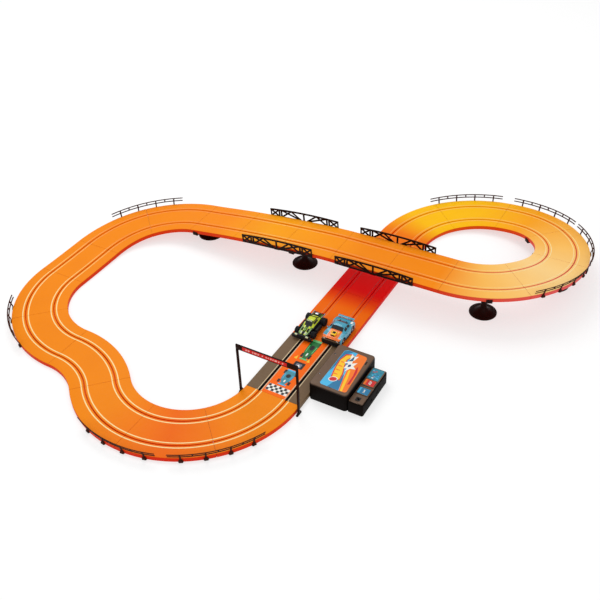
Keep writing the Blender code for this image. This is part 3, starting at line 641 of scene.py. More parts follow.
def closed_outline():
    """The whole wall's cross-section: the outer skin, and the inner one back again."""
    outer = track_outline()
    inner = offset_line(outer, -DECK_THICKNESS)
    inner[0].y = inner[-1].y = outer[0][1]
    return [Vector(point) for point in outer] + list(reversed(inner))


def slot_sides(outline):
    """Material index of each side of the outline: 1 for the walls and floors of the slots."""
    reach = SLOT_WIDTH / 2 + 0.05 * MM
    indices = []
    for first, second in zip(outline, outline[1:] + outline[:1]):
        inside = all(abs(abs(point[0]) - LANE_OFFSET) < reach and point[1] > -SLOT_DEPTH - 0.1 * MM
                     for point in (first, second))
        indices.append(1 if inside else 0)
    return indices


def piece_distances(piece):
    """How far along a track piece its cross-sections stand."""
    length = LENGTHS[CIRCUIT[piece][0]]
    if piece == 0:
        return np.array([JOINT_GAP / 2, PRINT_END, length - JOINT_GAP / 2])
    steps = CURVE_STEPS if BENDS[CIRCUIT[piece][0]] else STRAIGHT_STEPS
    return np.linspace(JOINT_GAP / 2, length - JOINT_GAP / 2, steps + 1)


def sweep_piece(bm, piece, outline, distances, slots):
    """A cross-section swept along a track piece, with quads across its thin end caps."""
    rings = [[on_track(piece, distance, y, z) for y, z in outline] for distance in distances]
    rows = loft(bm, rings, caps=False, slots=slots)
    for row in (rows[0], rows[-1]):
        for i in range(len(outline) // 2 - 1):
            bm.faces.new((row[i], row[i + 1], row[-2 - i], row[-1 - i]))
    bmesh.ops.recalc_face_normals(bm, faces=bm.faces)


def colour_by_travel(mesh, piece):
    """Each vertex's share of the way round the circuit, for the track's colour."""
    place, heading = STARTS[piece]
    kind = CIRCUIT[piece][0]
    bend = BENDS[kind]
    attribute = mesh.attributes.new("travel", "FLOAT", "POINT")
    turn = Matrix.Rotation(-heading, 2)
    for i, vertex in enumerate(mesh.vertices):
        local = turn @ (Vector((vertex.co.x, vertex.co.y)) - place)
        along = local.x
        if bend:
            along = math.atan2(local.x, CURVE_RADIUS - bend * local.y) * CURVE_RADIUS
        attribute.data[i].value = (piece + along / LENGTHS[kind]) / len(CIRCUIT)


def make_track():
    outline = closed_outline()
    in_slot = slot_sides(outline)
    for piece, name in enumerate(node_names()):
        bm = bmesh.new()
        sweep_piece(bm, piece, outline, piece_distances(piece), in_slot)
        made = make_piece(name + "_shell", bm, [TRACK, SLOT_RED], stands_for=[name])
        colour_by_travel(made.data, piece)


def tongue_outlines():
    """A flat bar between the slots, and two outer ones whose edges turn down inside the skirts."""
    slot_side = SLOT_WIDTH / 2 + DECK_THICKNESS + TONGUE_CLEARANCE
    inner = LANE_OFFSET - slot_side
    outer = LANE_OFFSET + slot_side
    edge = TRACK_WIDTH / 2 - DECK_THICKNESS - 0.6 * MM
    lip = edge - TONGUE_THICKNESS
    top = 0.1 * MM - DECK_THICKNESS
    under = top - TONGUE_THICKNESS
    low = 1.5 * MM - DECK_HEIGHT
    side_bar = [(outer, top), (edge, top), (edge, low), (lip, low), (lip, under), (outer, under)]
    middle_bar = [(-inner, top), (inner, top), (inner, under), (-inner, under)]
    return [middle_bar, side_bar, [(-y, height) for y, height in side_bar]]


def make_joint_tongues():
    """The tongues under each joint, which hold the pieces together and close the view down the gap; their
    dark orange-brown paints the shade in the gap.
    """
    bm = bmesh.new()
    for piece in range(len(CIRCUIT)):
        for outline in tongue_outlines():
            add_loft(bm, [[on_track(piece, along, y, height) for y, height in outline]
                          for along in (-TONGUE_REACH, 0, TONGUE_REACH)])
    make_piece("joint_tongues", bm, [TONGUE_SHADE])


def rail_outline(middle, width):
    """A strip's cross-section: sunk edges, sloping shoulders and a flat top."""
    half, flat, shoulder = width / 2, RAIL_FLAT * width / 2, RAIL_SHOULDER * RAIL_RISE
    return [(middle + half, -RAIL_SUNK), (middle + half, shoulder), (middle + flat, RAIL_RISE),
            (middle - flat, RAIL_RISE), (middle - half, shoulder), (middle - half, -RAIL_SUNK)]


def make_rails():
    """Four contact strips on each piece, let into the deck; the printed start section has its own."""
    for piece, name in enumerate(node_names()):
        distances = piece_distances(piece)
        if piece == 0:
            distances = np.linspace(PRINT_END, distances[-1], 5)
        width = BROAD_RAIL_WIDTH if piece in BROAD_RAIL_PIECES else RAIL_WIDTH
        bm = bmesh.new()
        for middle in (-LANE_OFFSET, LANE_OFFSET):
            for offset in (-RAIL_OFFSET, RAIL_OFFSET):
                outline = rail_outline(middle + offset, width)
                add_loft(bm,
                         [[on_track(piece, distance, y, z) for y, z in outline] for distance in distances])
        made = make_piece(name + "_rails", bm, [RAIL])
        colour_by_travel(made.data, piece)


make_track()
make_joint_tongues()
make_rails()


# Guardrails ------------------------------------------------------------------------------------------------
def guard_point(piece, middle, angle, offset, rise):
    """A point on a guardrail: angle round the curve from the rail's middle, offset from the centre line."""
    bend = BENDS[CIRCUIT[piece][0]]
    distance = middle + angle * CURVE_RADIUS
    start, heading = STARTS[piece]
    centre = start + Matrix.Rotation(heading, 2) @ Vector((0, bend * CURVE_RADIUS))
    outward = heading - bend * math.radians(90) + bend * distance / CURVE_RADIUS
    offset += GUARD_LEAN * max(rise, 0.0)
    place = centre + Vector((math.cos(outward), math.sin(outward))) * (CURVE_RADIUS + offset)
    return Vector((*place, DECK_HEIGHT + deck_rise(STATIONS[piece] + distance) + rise))


def guard_bar(bm, piece, middle, top):
    """A bar of the rail that follows the curve from end to end, given the height of its top."""
    half = GUARD_BAR / 2
    across = GUARD_THICKNESS / 2
    section = bar_section(across, half, 0.35 * min(across, half))
    add_loft(bm, [[guard_point(piece, middle, angle, GUARD_OFFSET + x, top - half + y) for x, y in section]
                  for angle in np.linspace(-GUARD_SPAN / 2, GUARD_SPAN / 2, GUARD_STEPS + 1)])


def guard_levels(bm, piece, middle, angle, levels):
    """A small solid at an angle along the rail, from pairs of corners and height."""
    reach = CURVE_RADIUS + GUARD_OFFSET
    add_loft(bm,
             [[guard_point(piece, middle, angle + x / reach, GUARD_OFFSET + y, height) for x, y in corners]
                  for corners, height in levels])


def guard_upright(bm, piece, middle, angle, half_size, low):
    """A post or spacer, bent where the rail starts to lean outwards at deck level."""
    heights = [low, GUARD_TOP - MM] if low >= 0 else [low, 0.0, GUARD_TOP - MM]
    corners = [(x * half_size[0], y * half_size[1]) for x, y in ((-1, -1), (1, -1), (1, 1), (-1, 1))]
    guard_levels(bm, piece, middle, angle, [(corners, height) for height in heights])


def guard_foot(bm, piece, middle, angle):
    """The clip that grips the lower edge of the skirt: a low mound wider than its post."""
    shape = [(-1, -0.5), (1, -0.5), (0.75, 1), (-0.75, 1)]
    guard_levels(bm, piece, middle, angle,
                 [([(x * half_width * MM, y * out * MM) for x, y in shape], height * MM)
                  for half_width, out, height in GUARD_CLIP])


def make_guardrail(number, piece, share):
    middle = share * LENGTHS[CIRCUIT[piece][0]]
    bm = bmesh.new()
    for top in (GUARD_TOP, GUARD_LOWER_BAR + GUARD_BAR):
        guard_bar(bm, piece, middle, top)
    pitch = GUARD_SPAN / (GUARD_POSTS - 1 + 2 * GUARD_OVERHANG)
    for i in range(2 * GUARD_POSTS - 1):
        angle = pitch * (GUARD_OVERHANG + i / 2) - GUARD_SPAN / 2
        if i % 2:
            guard_upright(bm, piece, middle, angle, GUARD_SPACER_HALF, GUARD_LOWER_BAR + MM)
        else:
            guard_upright(bm, piece, middle, angle, GUARD_POST_HALF, GUARD_FOOT)
            guard_foot(bm, piece, middle, angle)
    make_piece(f"guardrail_{number}_lattice", bm, [GUARD_BROWN], stands_for=[f"guardrail_{number}"])


for number, (piece, share) in enumerate(GUARDS, 1):
    make_guardrail(number, piece, share)


# Bridge trusses --------------------------------------------------------------------------------------------
def truss_top(x):
    """Height of the arched top edge at a distance from the truss's middle."""
    return TRUSS_HEIGHT + TRUSS_ARCH * (1 - (2 * x / TRUSS_LENGTH) ** 2)


def add_truss_chord(bm, half, deep, bar):
    """The arched top bar, swept in one piece."""
    section = bar_section(deep, bar, 0.3 * MM)
    add_loft(bm, [[Vector((x, across, truss_top(x) - bar + up)) for across, up in section]
                  for x in np.linspace(-half, half, 17)])


def truss_lattice():
    """A truss in its own frame: x along it, z up from its foot. No two bars share a face's depth."""
    bm = bmesh.new()
    half, deep, bar = TRUSS_LENGTH / 2, TRUSS_THICKNESS / 2, TRUSS_BAR / 2
    across = Vector((0, 1, 0))

    def top(x):
        return Vector((x, 0, truss_top(x) - bar))

    def bottom(x):
        return Vector((x, 0, bar))

    add_truss_chord(bm, half, deep, bar)
    add_bar(bm, bottom(-half), bottom(half), across, deep, bar)
    for side in (-1, 1):
        end, post, second, apex, foot = (side * x for x in (TRUSS_END, TRUSS_POST, TRUSS_SECOND, TRUSS_APEX,
                                                            TRUSS_FOOT))
        webs = [(top(end), bottom(end)), (top(post), bottom(post)), (top(second), bottom(second)),
                (top(end), bottom(post)), (bottom(end), top(post)), (top(second), bottom(foot)),
                (bottom(second), top(apex)), (bottom(foot), top(apex))]
        for order, (start, stop) in enumerate(webs):
            half_width = TRUSS_WEB if order else TRUSS_END_POST
            add_bar(bm, start, stop, across, deep * (0.90 - 0.045 * order), half_width)
        for joint in (top(post), bottom(post), top(apex), bottom(foot)):
            reach = Vector((3.8 * MM, deep + 0.25 * MM, 2.0 * MM))
            add_block(bm, joint - reach, joint + reach, 0.4 * MM, 1)
    add_bar(bm, bottom(0), top(0), across, deep * 0.95, TRUSS_WEB)
    clip = Vector((9 * MM, deep + 0.12 * MM, 3.4 * MM))
    add_block(bm, (-clip.x, -clip.y, -TRUSS_SINK), clip, 0.6 * MM, 1)
    return bm


def make_truss(name):
    """A truss tilted as the bridge's deck is where it stands, with its clip at its CAD node's foot."""
    low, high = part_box(name)
    centre = (low + high) / 2
    station = STATIONS[10] + STARTS[10][0].x - centre.x
    bm = truss_lattice()
    bm.transform(Matrix.Translation((centre.x, centre.y,
                                     0)) @ Matrix.Rotation(math.atan(deck_climb(station)), 4, "Y"))
    lowest = min(vertex.co.z for vertex in bm.verts)
    bm.transform(Matrix.Translation((0, 0, low.z - lowest - TRUSS_SINK)))
    make_piece(name + "_lattice", bm, [TRIM], stands_for=[name])


for name in ("truss_near_1", "truss_near_2", "truss_far_1", "truss_far_2"):
    make_truss(name)


# Piers -----------------------------------------------------------------------------------------------------
def pier_profile(top):
    """The turned foot and stem, from the stem's collar down to the middle of the foot's underside."""
    stem, rim = PIER_STEM_RADIUS, PIER_BASE_RADIUS
    collar = stem + 1.4 * MM
    profile = [(0, top + MM), (collar, top + MM), (collar, top - 4 * MM), (stem, top - 6 * MM),
               (stem, PIER_CONE_HEIGHT + 5 * MM)]
    for step in range(1, 9):
        t = step / 8
        profile.append((stem + (rim - 2 * MM - stem) * t,
                        3.4 * MM + (PIER_CONE_HEIGHT + 1.6 * MM) * (1 - t) ** 2.1))
    return profile + [(rim - 1.2 * MM, 3.2 * MM), (rim - 0.3 * MM, 2.6 * MM), (rim, 1.8 * MM), (rim, 0.0),
                      (0, 0.0)]


def add_pier_foot(bm, top):
    """The foot with its raised ring, the stem, and four ribs between them."""
    stem, rim = PIER_STEM_RADIUS, PIER_BASE_RADIUS
    add_turned(bm, pier_profile(top)[::-1], sides=PIER_SIDES)
    add_turned(bm, [(0, 3 * MM), (rim * 0.80, 3 * MM), (rim * 0.80, 4.9 * MM), (rim * 0.77, 5.6 * MM),
                    (rim * 0.74, 4.9 * MM), (rim * 0.70, 3 * MM)], sides=PIER_SIDES)
    rib = [(stem - MM, 8 * MM), (stem + 15 * MM, 7 * MM), (stem + 4 * MM, 13 * MM), (stem - MM, 26 * MM)]
    for quarter in range(4):
        turn = Matrix.Rotation(math.radians(45 + 90 * quarter), 4, "Z")
        add_loft(bm, [[Vector((x, y, z)) for x, z in rib] for y in (-0.9 * MM, 0.9 * MM)], turn)


def add_pier_brackets(bm, side, low, half_width):
    """Two thin gussets under one arm of the cross bar."""
    root = PIER_STEM_RADIUS * 0.6
    outline = [(root, low + 0.5 * MM), (0.62 * half_width, low + 0.5 * MM), (root, low - 13 * MM)]
    for along in (-4.5 * MM, 4.5 * MM):
        add_loft(bm, [[Vector((along + x, side * y, z)) for y, z in outline] for x in (-0.8 * MM, 0.8 * MM)])


def make_pier(number, piece, share):
    """A turned foot and stem, and a cross bar whose ends clip round the skirts."""
    kind = CIRCUIT[piece][0]
    distance = share * LENGTHS[kind]
    place = on_track(piece, distance)
    heading = STARTS[piece][1] + local_place(kind, distance)[1]
    inner_radius = CURVE_RADIUS - TRACK_WIDTH / 2
    steepest = abs(deck_climb(STATIONS[piece] + distance)) * CURVE_RADIUS / inner_radius
    high = place.z - DECK_HEIGHT - PIER_GAP - steepest * PIER_BAR_LENGTH / 2
    low = high - PIER_BAR_THICKNESS
    bm = bmesh.new()
    add_pier_foot(bm, low)
    half_width = TRACK_WIDTH / 2 + 0.9 * MM
    outer, half_bar, inset = half_width + PIER_CLIP_THICKNESS, PIER_BAR_LENGTH / 2, 0.3 * MM
    add_block(bm, (-half_bar, inset - outer, low), (half_bar, outer - inset, high), 0.8 * MM)
    for side in (-1, 1):
        right, left = sorted((side * half_width, side * outer))
        add_block(bm, (inset - half_bar, right, low + inset),
                  (half_bar - inset, left, high + PIER_CLIP_RISE), 0.6 * MM)
        if low > PIER_BRACKETS_ABOVE:
            add_pier_brackets(bm, side, low, half_width)
    bm.transform(Matrix.Translation((place.x, place.y, 0)) @ Matrix.Rotation(heading, 4, "Z"))
    make_piece(f"pier_{number}_column", bm, [TRIM], stands_for=[f"pier_{number}"])


for number, (piece, share) in enumerate(PIERS, 1):
    make_pier(number, piece, share)


# Flat prints and small helpers -----------------------------------------------------------------------------
def add_plate(bm, outline, low, high, slot=0, matrix=None):
    """A thin prism over an outline of (x, y) points."""
    add_loft(bm, [[Vector((x, y, z)) for x, y in outline] for z in (low, high)], matrix, slot)


def rectangle(low_x, low_y, high_x, high_y):
    return [(low_x, low_y), (high_x, low_y), (high_x, high_y), (low_x, high_y)]


def mirrored(outline, side):
    """An outline, or its mirror image on the other side of the middle line."""
    return outline if side > 0 else [(-x, y) for x, y in reversed(outline)]


def rounded_outline(low, high, radius, steps=5):
    """Corner points of a rectangle with rounded corners, anticlockwise."""
    left, right = low[0] + radius, high[0] - radius
    near, far = low[1] + radius, high[1] - radius
    points = []
    for corner, (x, y) in enumerate(((right, far), (left, far), (left, near), (right, near))):
        for step in range(steps + 1):
            angle = math.radians(90) * (corner + step / steps)
            points.append((x + radius * math.cos(angle), y + radius * math.sin(angle)))
    return points


def edge_levels(height, radius, degrees, up):
    """Heights and insets round a horizontal edge's radius."""
    angles = [math.radians(angle) for angle in degrees]
    return [(height + up * radius * (1 - math.sin(a)), radius * (1 - math.cos(a))) for a in angles]


def add_slab(bm, low, high, corner, top=0.0, bottom=0.0, slot=0, matrix=None):
    """A slab with rounded vertical corners, and with its top and bottom edges rounded."""
    levels = edge_levels(low[2], bottom, (90, 60, 30, 0), 1) if bottom else [(low[2], 0.0)]
    levels += edge_levels(high[2], top, (0, 22.5, 45, 67.5, 90), -1) if top else [(high[2], 0.0)]
    rings = []
    for z, inset in levels:
        outline = rounded_outline((low[0] + inset, low[1] + inset), (high[0] - inset, high[1] - inset),
                                  max(corner - inset, 0.1 * MM))
        rings.append([Vector((x, y, z)) for x, y in outline])
    slab = bmesh.new()
    loft(slab, rings)
    merge(bm, slab, matrix, slot)


def ellipse(x, y, half_x, half_y, turn=0.0):
    points = []
    for angle in circle_angles(24):
        dx, dy = half_x * math.cos(angle), half_y * math.sin(angle)
        points.append((x + dx * math.cos(turn) - dy * math.sin(turn),
                       y + dx * math.sin(turn) + dy * math.cos(turn)))
    return points


def cut(piece, cutter_bm, join_own_parts=False):
    """Cuts a piece with the exact solver, and applies it."""
    bmesh.ops.recalc_face_normals(cutter_bm, faces=cutter_bm.faces)
    mesh = bpy.data.meshes.new("cutter")
    cutter_bm.to_mesh(mesh)
    cutter_bm.free()
    cutter = bpy.data.objects.new("cutter", mesh)
    bpy.context.scene.collection.objects.link(cutter)
    cutter.matrix_world = piece.matrix_world
    modifier = piece.modifiers.new("cut", "BOOLEAN")
    modifier.operation = "DIFFERENCE"
    modifier.solver = "EXACT"
    modifier.use_self = join_own_parts
    modifier.object = cutter
    bake_modifiers(piece)
    bpy.data.objects.remove(cutter)
    bpy.data.meshes.remove(mesh)


def join_parts(piece):
    """Joins a piece's overlapping closed parts, by cutting a far-off speck from it."""
    speck = bmesh.new()
    add_block(speck, (-0.001 * MM, -0.001 * MM, -1.0), (0.001 * MM, 0.001 * MM, -0.999))
    cut(piece, speck, join_own_parts=True)


def bake_modifiers(piece):
    bpy.context.view_layer.update()
    graph = bpy.context.evaluated_depsgraph_get()
    fresh = bpy.data.meshes.new_from_object(piece.evaluated_get(graph))
    piece.modifiers.clear()
    old = piece.data
    piece.data = fresh
    bpy.data.meshes.remove(old)
    fresh.shade_smooth()
    fresh.set_sharp_from_angle(angle=math.radians(35))


# Printed start section -------------------------------------------------------------------------------------
PRINT_RISE = 0.15 * MM
PRINT_SUNK = -0.05 * MM
CHEQUER_LOW = (-30.0 * MM, 12.0 * MM)
CHEQUER_SQUARE = (7.75 * MM, 8.0 * MM)
CHEQUER_COUNT = (8, 3)


def on_base(x, y, z=0.0):
    return Vector((ORIGIN.x + x, ORIGIN.y + y, DECK_HEIGHT + z))


def print_base():
    """Brown shoulders, an orange panel and black slots on the start section's shell."""
    shell = bpy.data.objects["start_straight_shell"]
    for material in (BROWN, PANEL, SLOT_BLACK):
        shell.data.materials.append(material)
    brown, panel, black = 2, 3, 4
    half_slot = SLOT_WIDTH / 2
    for face in shell.data.polygons:
        centre = face.center
        if centre.y > ORIGIN.y + PRINT_END:
            continue
        across = abs(centre.x - ORIGIN.x)
        in_slot = abs(across - LANE_OFFSET) < half_slot + SLOT_CHAMFER
        if in_slot and centre.z < DECK_HEIGHT:
            face.material_index = black
        elif across > LANE_OFFSET:
            face.material_index = brown
        elif centre.z > DECK_HEIGHT - MM:
            face.material_index = panel


def add_race_car(bm, place, length, half_width, wheel_reach, paint, accent, inks):
    """A generic racing car seen from above: wheels, a broad tub, wings, a cockpit and side stripes."""
    white, black = inks
    turn = Matrix.Translation(on_base(*place))
    half, w = length / 2, half_width

    def layer(outline, number, ink):
        add_plate(bm, outline, PRINT_SUNK, PRINT_RISE + number * 0.01 * MM, ink, turn)

    wheels = ((-0.60 * half, 0.19 * w, 0.20 * half), (0.62 * half, 0.22 * w, 0.22 * half))
    for side in (-1, 1):
        for y, wide, long in wheels:
            x = side * wheel_reach * w
            layer(rounded_outline((x - wide, y - long), (x + wide, y + long), 0.08 * w, 2), 5, black)
    tub = [(0.30 * w, -half), (0.42 * w, -0.62 * half), (0.72 * w, -0.30 * half), (0.80 * w, 0.10 * half),
           (0.78 * w, 0.50 * half), (0.52 * w, 0.94 * half)]
    layer(tub + [(-x, y) for x, y in reversed(tub)], 8, paint)
    for y, wide, long in ((-0.93 * half, 0.62 * w, 0.06 * half), (0.92 * half, 0.74 * w, 0.09 * half)):
        layer(rectangle(-wide, y - long, wide, y + long), 11, accent)
    layer(ellipse(0, 0.22 * half, 0.34 * w, 0.24 * half), 14, black)
    layer(ellipse(0, -0.46 * half, 0.12 * w, 0.16 * half), 14, white)
    stripe = [(0.46 * w, -0.26 * half), (0.58 * w, -0.22 * half), (0.66 * w, 0.40 * half),
              (0.56 * w, 0.44 * half)]
    for side in (-1, 1):
        layer(mirrored(stripe, side), 14, accent)


def add_chequers(bm, base, white, black):
    """The start line's black squares on a white ground."""
    left, near = CHEQUER_LOW
    wide, long = CHEQUER_SQUARE
    columns, rows = CHEQUER_COUNT
    border = 0.6 * MM
    ground = rectangle(left - border, near - border, left + columns * wide + border,
                       near + rows * long + border)
    add_plate(bm, ground, PRINT_SUNK, 0.10 * MM, white, base)
    for i in range(columns):
        for j in range(rows):
            x, y = left + i * wide, near + j * long
            if (i + j) % 2 == 0:
                add_plate(bm, rectangle(x, y, x + wide, y + long), PRINT_SUNK, PRINT_RISE + 0.03 * MM, black,
                          base)


def make_start_print():
    bm = bmesh.new()
    palette = [WHITE, BLACK, TEAL, CYAN, GREEN, MINT, GREY, YELLOW]
    white, black, teal, cyan, green, mint, grey, yellow = range(len(palette))
    base = Matrix.Translation(on_base(0, 0))

    def layer(outline, rise, ink):
        add_plate(bm, [(x * MM, y * MM) for x, y in outline], PRINT_SUNK, rise, ink, base)

    add_chequers(bm, base, white, black)
    add_race_car(bm, (0.5 * MM, 74 * MM), 62 * MM, 19 * MM, 0.80, teal, cyan, (white, black))
    add_race_car(bm, (2 * MM, 198 * MM), 88 * MM, 18 * MM, 0.62, green, mint, (white, black))
    layer(rounded_outline((-12, 117), (19, 143), 3), PRINT_RISE, black)
    layer(rounded_outline((-5, 121), (12, 136), 2), 0.22 * MM, grey)
    layer([(-2, 124), (9, 124), (3.5, 133)], 0.28 * MM, white)
    for side in (-1, 1):
        layer(mirrored([(15, 150), (24, 152), (21, 158), (17, 166)], side), 0.14 * MM, yellow)
    make_piece("start_print", bm, palette)


def make_slot_borders():
    """Black strips either side of the start section's slots, with a tan line outside each."""
    bm = bmesh.new()
    for lane in (-1, 1):
        for side in (-1, 1):
            middle = lane * LANE_OFFSET
            for near, far, rise, slot in ((2.3, 3.7, 0.06, 0), (4.2, 6.4, 0.35, 1)):
                x_low, x_high = sorted((middle + side * near * MM, middle + side * far * MM))
                low = on_base(x_low, 0.6 * MM, -0.3 * MM)
                high = on_base(x_high, PRINT_END - 0.4 * MM, rise * MM)
                add_block(bm, low, high, 0.05 * MM, 1, slot=slot)
    make_piece("start_strips", bm, [SLOT_BLACK, TAN])


print_base()
make_start_print()
make_slot_borders()


# Start gantry ----------------------------------------------------------------------------------------------
def make_gantry_posts():
    """Each post with its rounded foot, a collar and two braces."""
    for label in ("left", "right"):
        low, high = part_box("gantry_post_" + label)
        middle = (low + high) / 2
        half_post, inset = 2.8 * MM, 0.3 * MM
        bm = bmesh.new()
        add_block(bm, (low.x + inset, middle.y - half_post, 1 * MM),
                  (high.x - inset, middle.y + half_post, high.z), 0.7 * MM)
        add_slab(bm, (low.x, low.y, 0), (high.x, high.y, 4.5 * MM), 2.4 * MM, 1.4 * MM)
        add_block(bm, (low.x + 0.8 * MM, low.y + 3 * MM, 3 * MM),
                  (high.x - 0.8 * MM, high.y - 3 * MM, 9 * MM),
                  1.6 * MM)
        for side in (-1, 1):
            brace = [(side * 7.0 * MM, 4 * MM), (side * 1.6 * MM, 4 * MM), (side * 1.6 * MM, 22 * MM)]
            add_loft(bm, [[Vector((middle.x + x, middle.y + y, z)) for y, z in brace]
                          for x in (-0.7 * MM, 0.7 * MM)])
        make_piece(f"gantry_post_{label}_bar", bm, [TRIM], stands_for=["gantry_post_" + label])


def add_banner_marks(bm, left, right, middle, half_banner):
    """A row of slanting plain marks on both faces of the banner."""
    half_tall, half_thick, slant = 2.3 * MM, 0.15 * MM, 1.4 * MM
    rng = random.Random(7)
    x = left + 9 * MM
    while x < right - 14 * MM:
        step = rng.choice((3.2, 4.6, 7.0)) * MM
        start = x + 1.2 * MM
        outline = [(start, -half_tall), (start + step, -half_tall), (start + step + slant, half_tall),
                   (start + slant, half_tall)]
        for side in (-1, 1):
            face = middle.y + side * half_banner
            add_loft(bm, [[Vector((px, y, middle.z + pz)) for px, pz in outline]
                          for y in (face - half_thick, face + half_thick)], slot=2)
        x += step + rng.choice((2.6, 3.4, 8.0)) * MM


def make_gantry_beam():
    """A frame with a banner of plain marks in it."""
    low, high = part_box("gantry_beam")
    middle = (low + high) / 2
    bm = bmesh.new()
    rail, proud, half_banner = 2.2 * MM, 0.25 * MM, 1.4 * MM
    for bottom, top in ((low.z, low.z + rail), (high.z - rail, high.z)):
        add_block(bm, (low.x + proud, low.y + proud, bottom), (high.x - proud, high.y - proud, top),
                  0.5 * MM)
    width = high.x - low.x
    ends = [(low.x, low.x + 0.11 * width), (low.x + 0.83 * width, high.x)]
    for left, right in ends:
        add_block(bm, (left, low.y, low.z + proud), (right, high.y, high.z - proud), 0.6 * MM)
    left, right = ends[0][1] - MM, ends[1][0] + MM
    add_block(bm, (left, middle.y - half_banner, low.z + MM), (right, middle.y + half_banner, high.z - MM),
              0.2 * MM, 1, slot=1)
    add_banner_marks(bm, left, right, middle, half_banner)
    make_piece("gantry_beam_banner", bm, [TRIM, RED, PINK], stands_for=["gantry_beam"])


make_gantry_posts()
make_gantry_beam()


# Battery box -----------------------------------------------------------------------------------------------
# Where the latches and screws lie, as shares of the cover's size
LATCHES = (0.22, 0.78)
SCREWS = ((0.08, 0.26), (0.08, 0.76), (0.52, 0.06))
# Middles of the adaptor's jack and of the two controllers' sockets, along the start section
JACK_PLACE = 0.068
CONTROLLER_PLACES = (0.100, 0.134)
JACK_HALF = 3.75 * MM
JACK_FRAME_HALF = 3.9 * MM
PAD_RISE = 1.6 * MM


def make_housing():
    """The open box, grip ribs on its outer side, and a screw pillar in each corner."""
    low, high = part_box("battery_housing")
    bm = bmesh.new()
    add_slab(bm, low, high, 9.0 * MM, 0.6 * MM, 1.2 * MM)
    housing = loose_piece("battery_housing_shell", bm, [BOX_DARK])
    wall = 2.5 * MM
    cutter = bmesh.new()
    add_slab(cutter, (low.x + wall, low.y + wall, wall), (high.x - wall, high.y - wall, high.z + wall),
             6.5 * MM)
    cut(housing, cutter)
    settle(housing, BODY, ["battery_housing"])
    bm = bmesh.new()
    for i in range(7):
        y = low.y + (0.62 + 0.045 * i) * (high.y - low.y)
        add_block(bm, (high.x - 0.4 * MM, y, 12 * MM), (high.x + 0.5 * MM, y + 2.4 * MM, 34 * MM), 0.2 * MM,
                  1)
    inset = 9 * MM
    for y in (low.y + inset, high.y - inset):
        for x in (low.x + inset, high.x - inset):
            add_cylinder(bm, 3.0 * MM, 0.2 * MM, 40 * MM, (x, y, 2.6 * MM), 20)
    make_piece("battery_housing_fittings", bm, [BOX_DARK])


def make_cover():
    """The lid with its latch recesses and countersunk screws."""
    low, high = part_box("battery_cover")
    size = high - low
    floor = high.z - 1.6 * MM
    latch_x = high.x - 9 * MM
    latches = [low.y + share * size.y for share in LATCHES]
    screws = [(low.x + share_x * size.x, low.y + share_y * size.y) for share_x, share_y in SCREWS]
    bm = bmesh.new()
    add_slab(bm, low, high, 10.0 * MM, 3.8 * MM, 0.2 * MM)
    cover = loose_piece("battery_cover_lid", bm, [BOX_LID])
    cutter = bmesh.new()
    for y in latches:
        add_slab(cutter, (latch_x - 3.5 * MM, y - 6 * MM, floor), (latch_x, y + 6 * MM, high.z + MM),
                 1.4 * MM)
    for x, y in screws:
        add_cylinder(cutter, 2.3 * MM, floor, high.z + MM, (x, y, 0))
    cut(cover, cutter)
    settle(cover, "battery_cover", ["battery_cover"])
    bm = bmesh.new()
    for y in latches:
        add_block(bm, (latch_x - 3.3 * MM, y - 5.8 * MM, floor - 0.2 * MM),
                  (latch_x - 0.2 * MM, y + 5.8 * MM, floor + 0.15 * MM))
    for x, y in screws:
        add_turned(bm, [(0, -0.2 * MM), (2.1 * MM, -0.2 * MM), (2.0 * MM, 0.5 * MM), (0, 0.7 * MM)],
                   (x, y, floor), 24)
        for turn in (20, 110):
            cross = Matrix.Translation((x, y, floor)) @ Matrix.Rotation(math.radians(turn), 4, "Z")
            add_block(bm, (-1.3 * MM, -0.3 * MM, 0.4 * MM), (1.3 * MM, 0.3 * MM, 0.8 * MM), matrix=cross,
                      slot=1)
    make_piece("battery_cover_screws", bm, [BLACK, STEEL], "battery_cover")


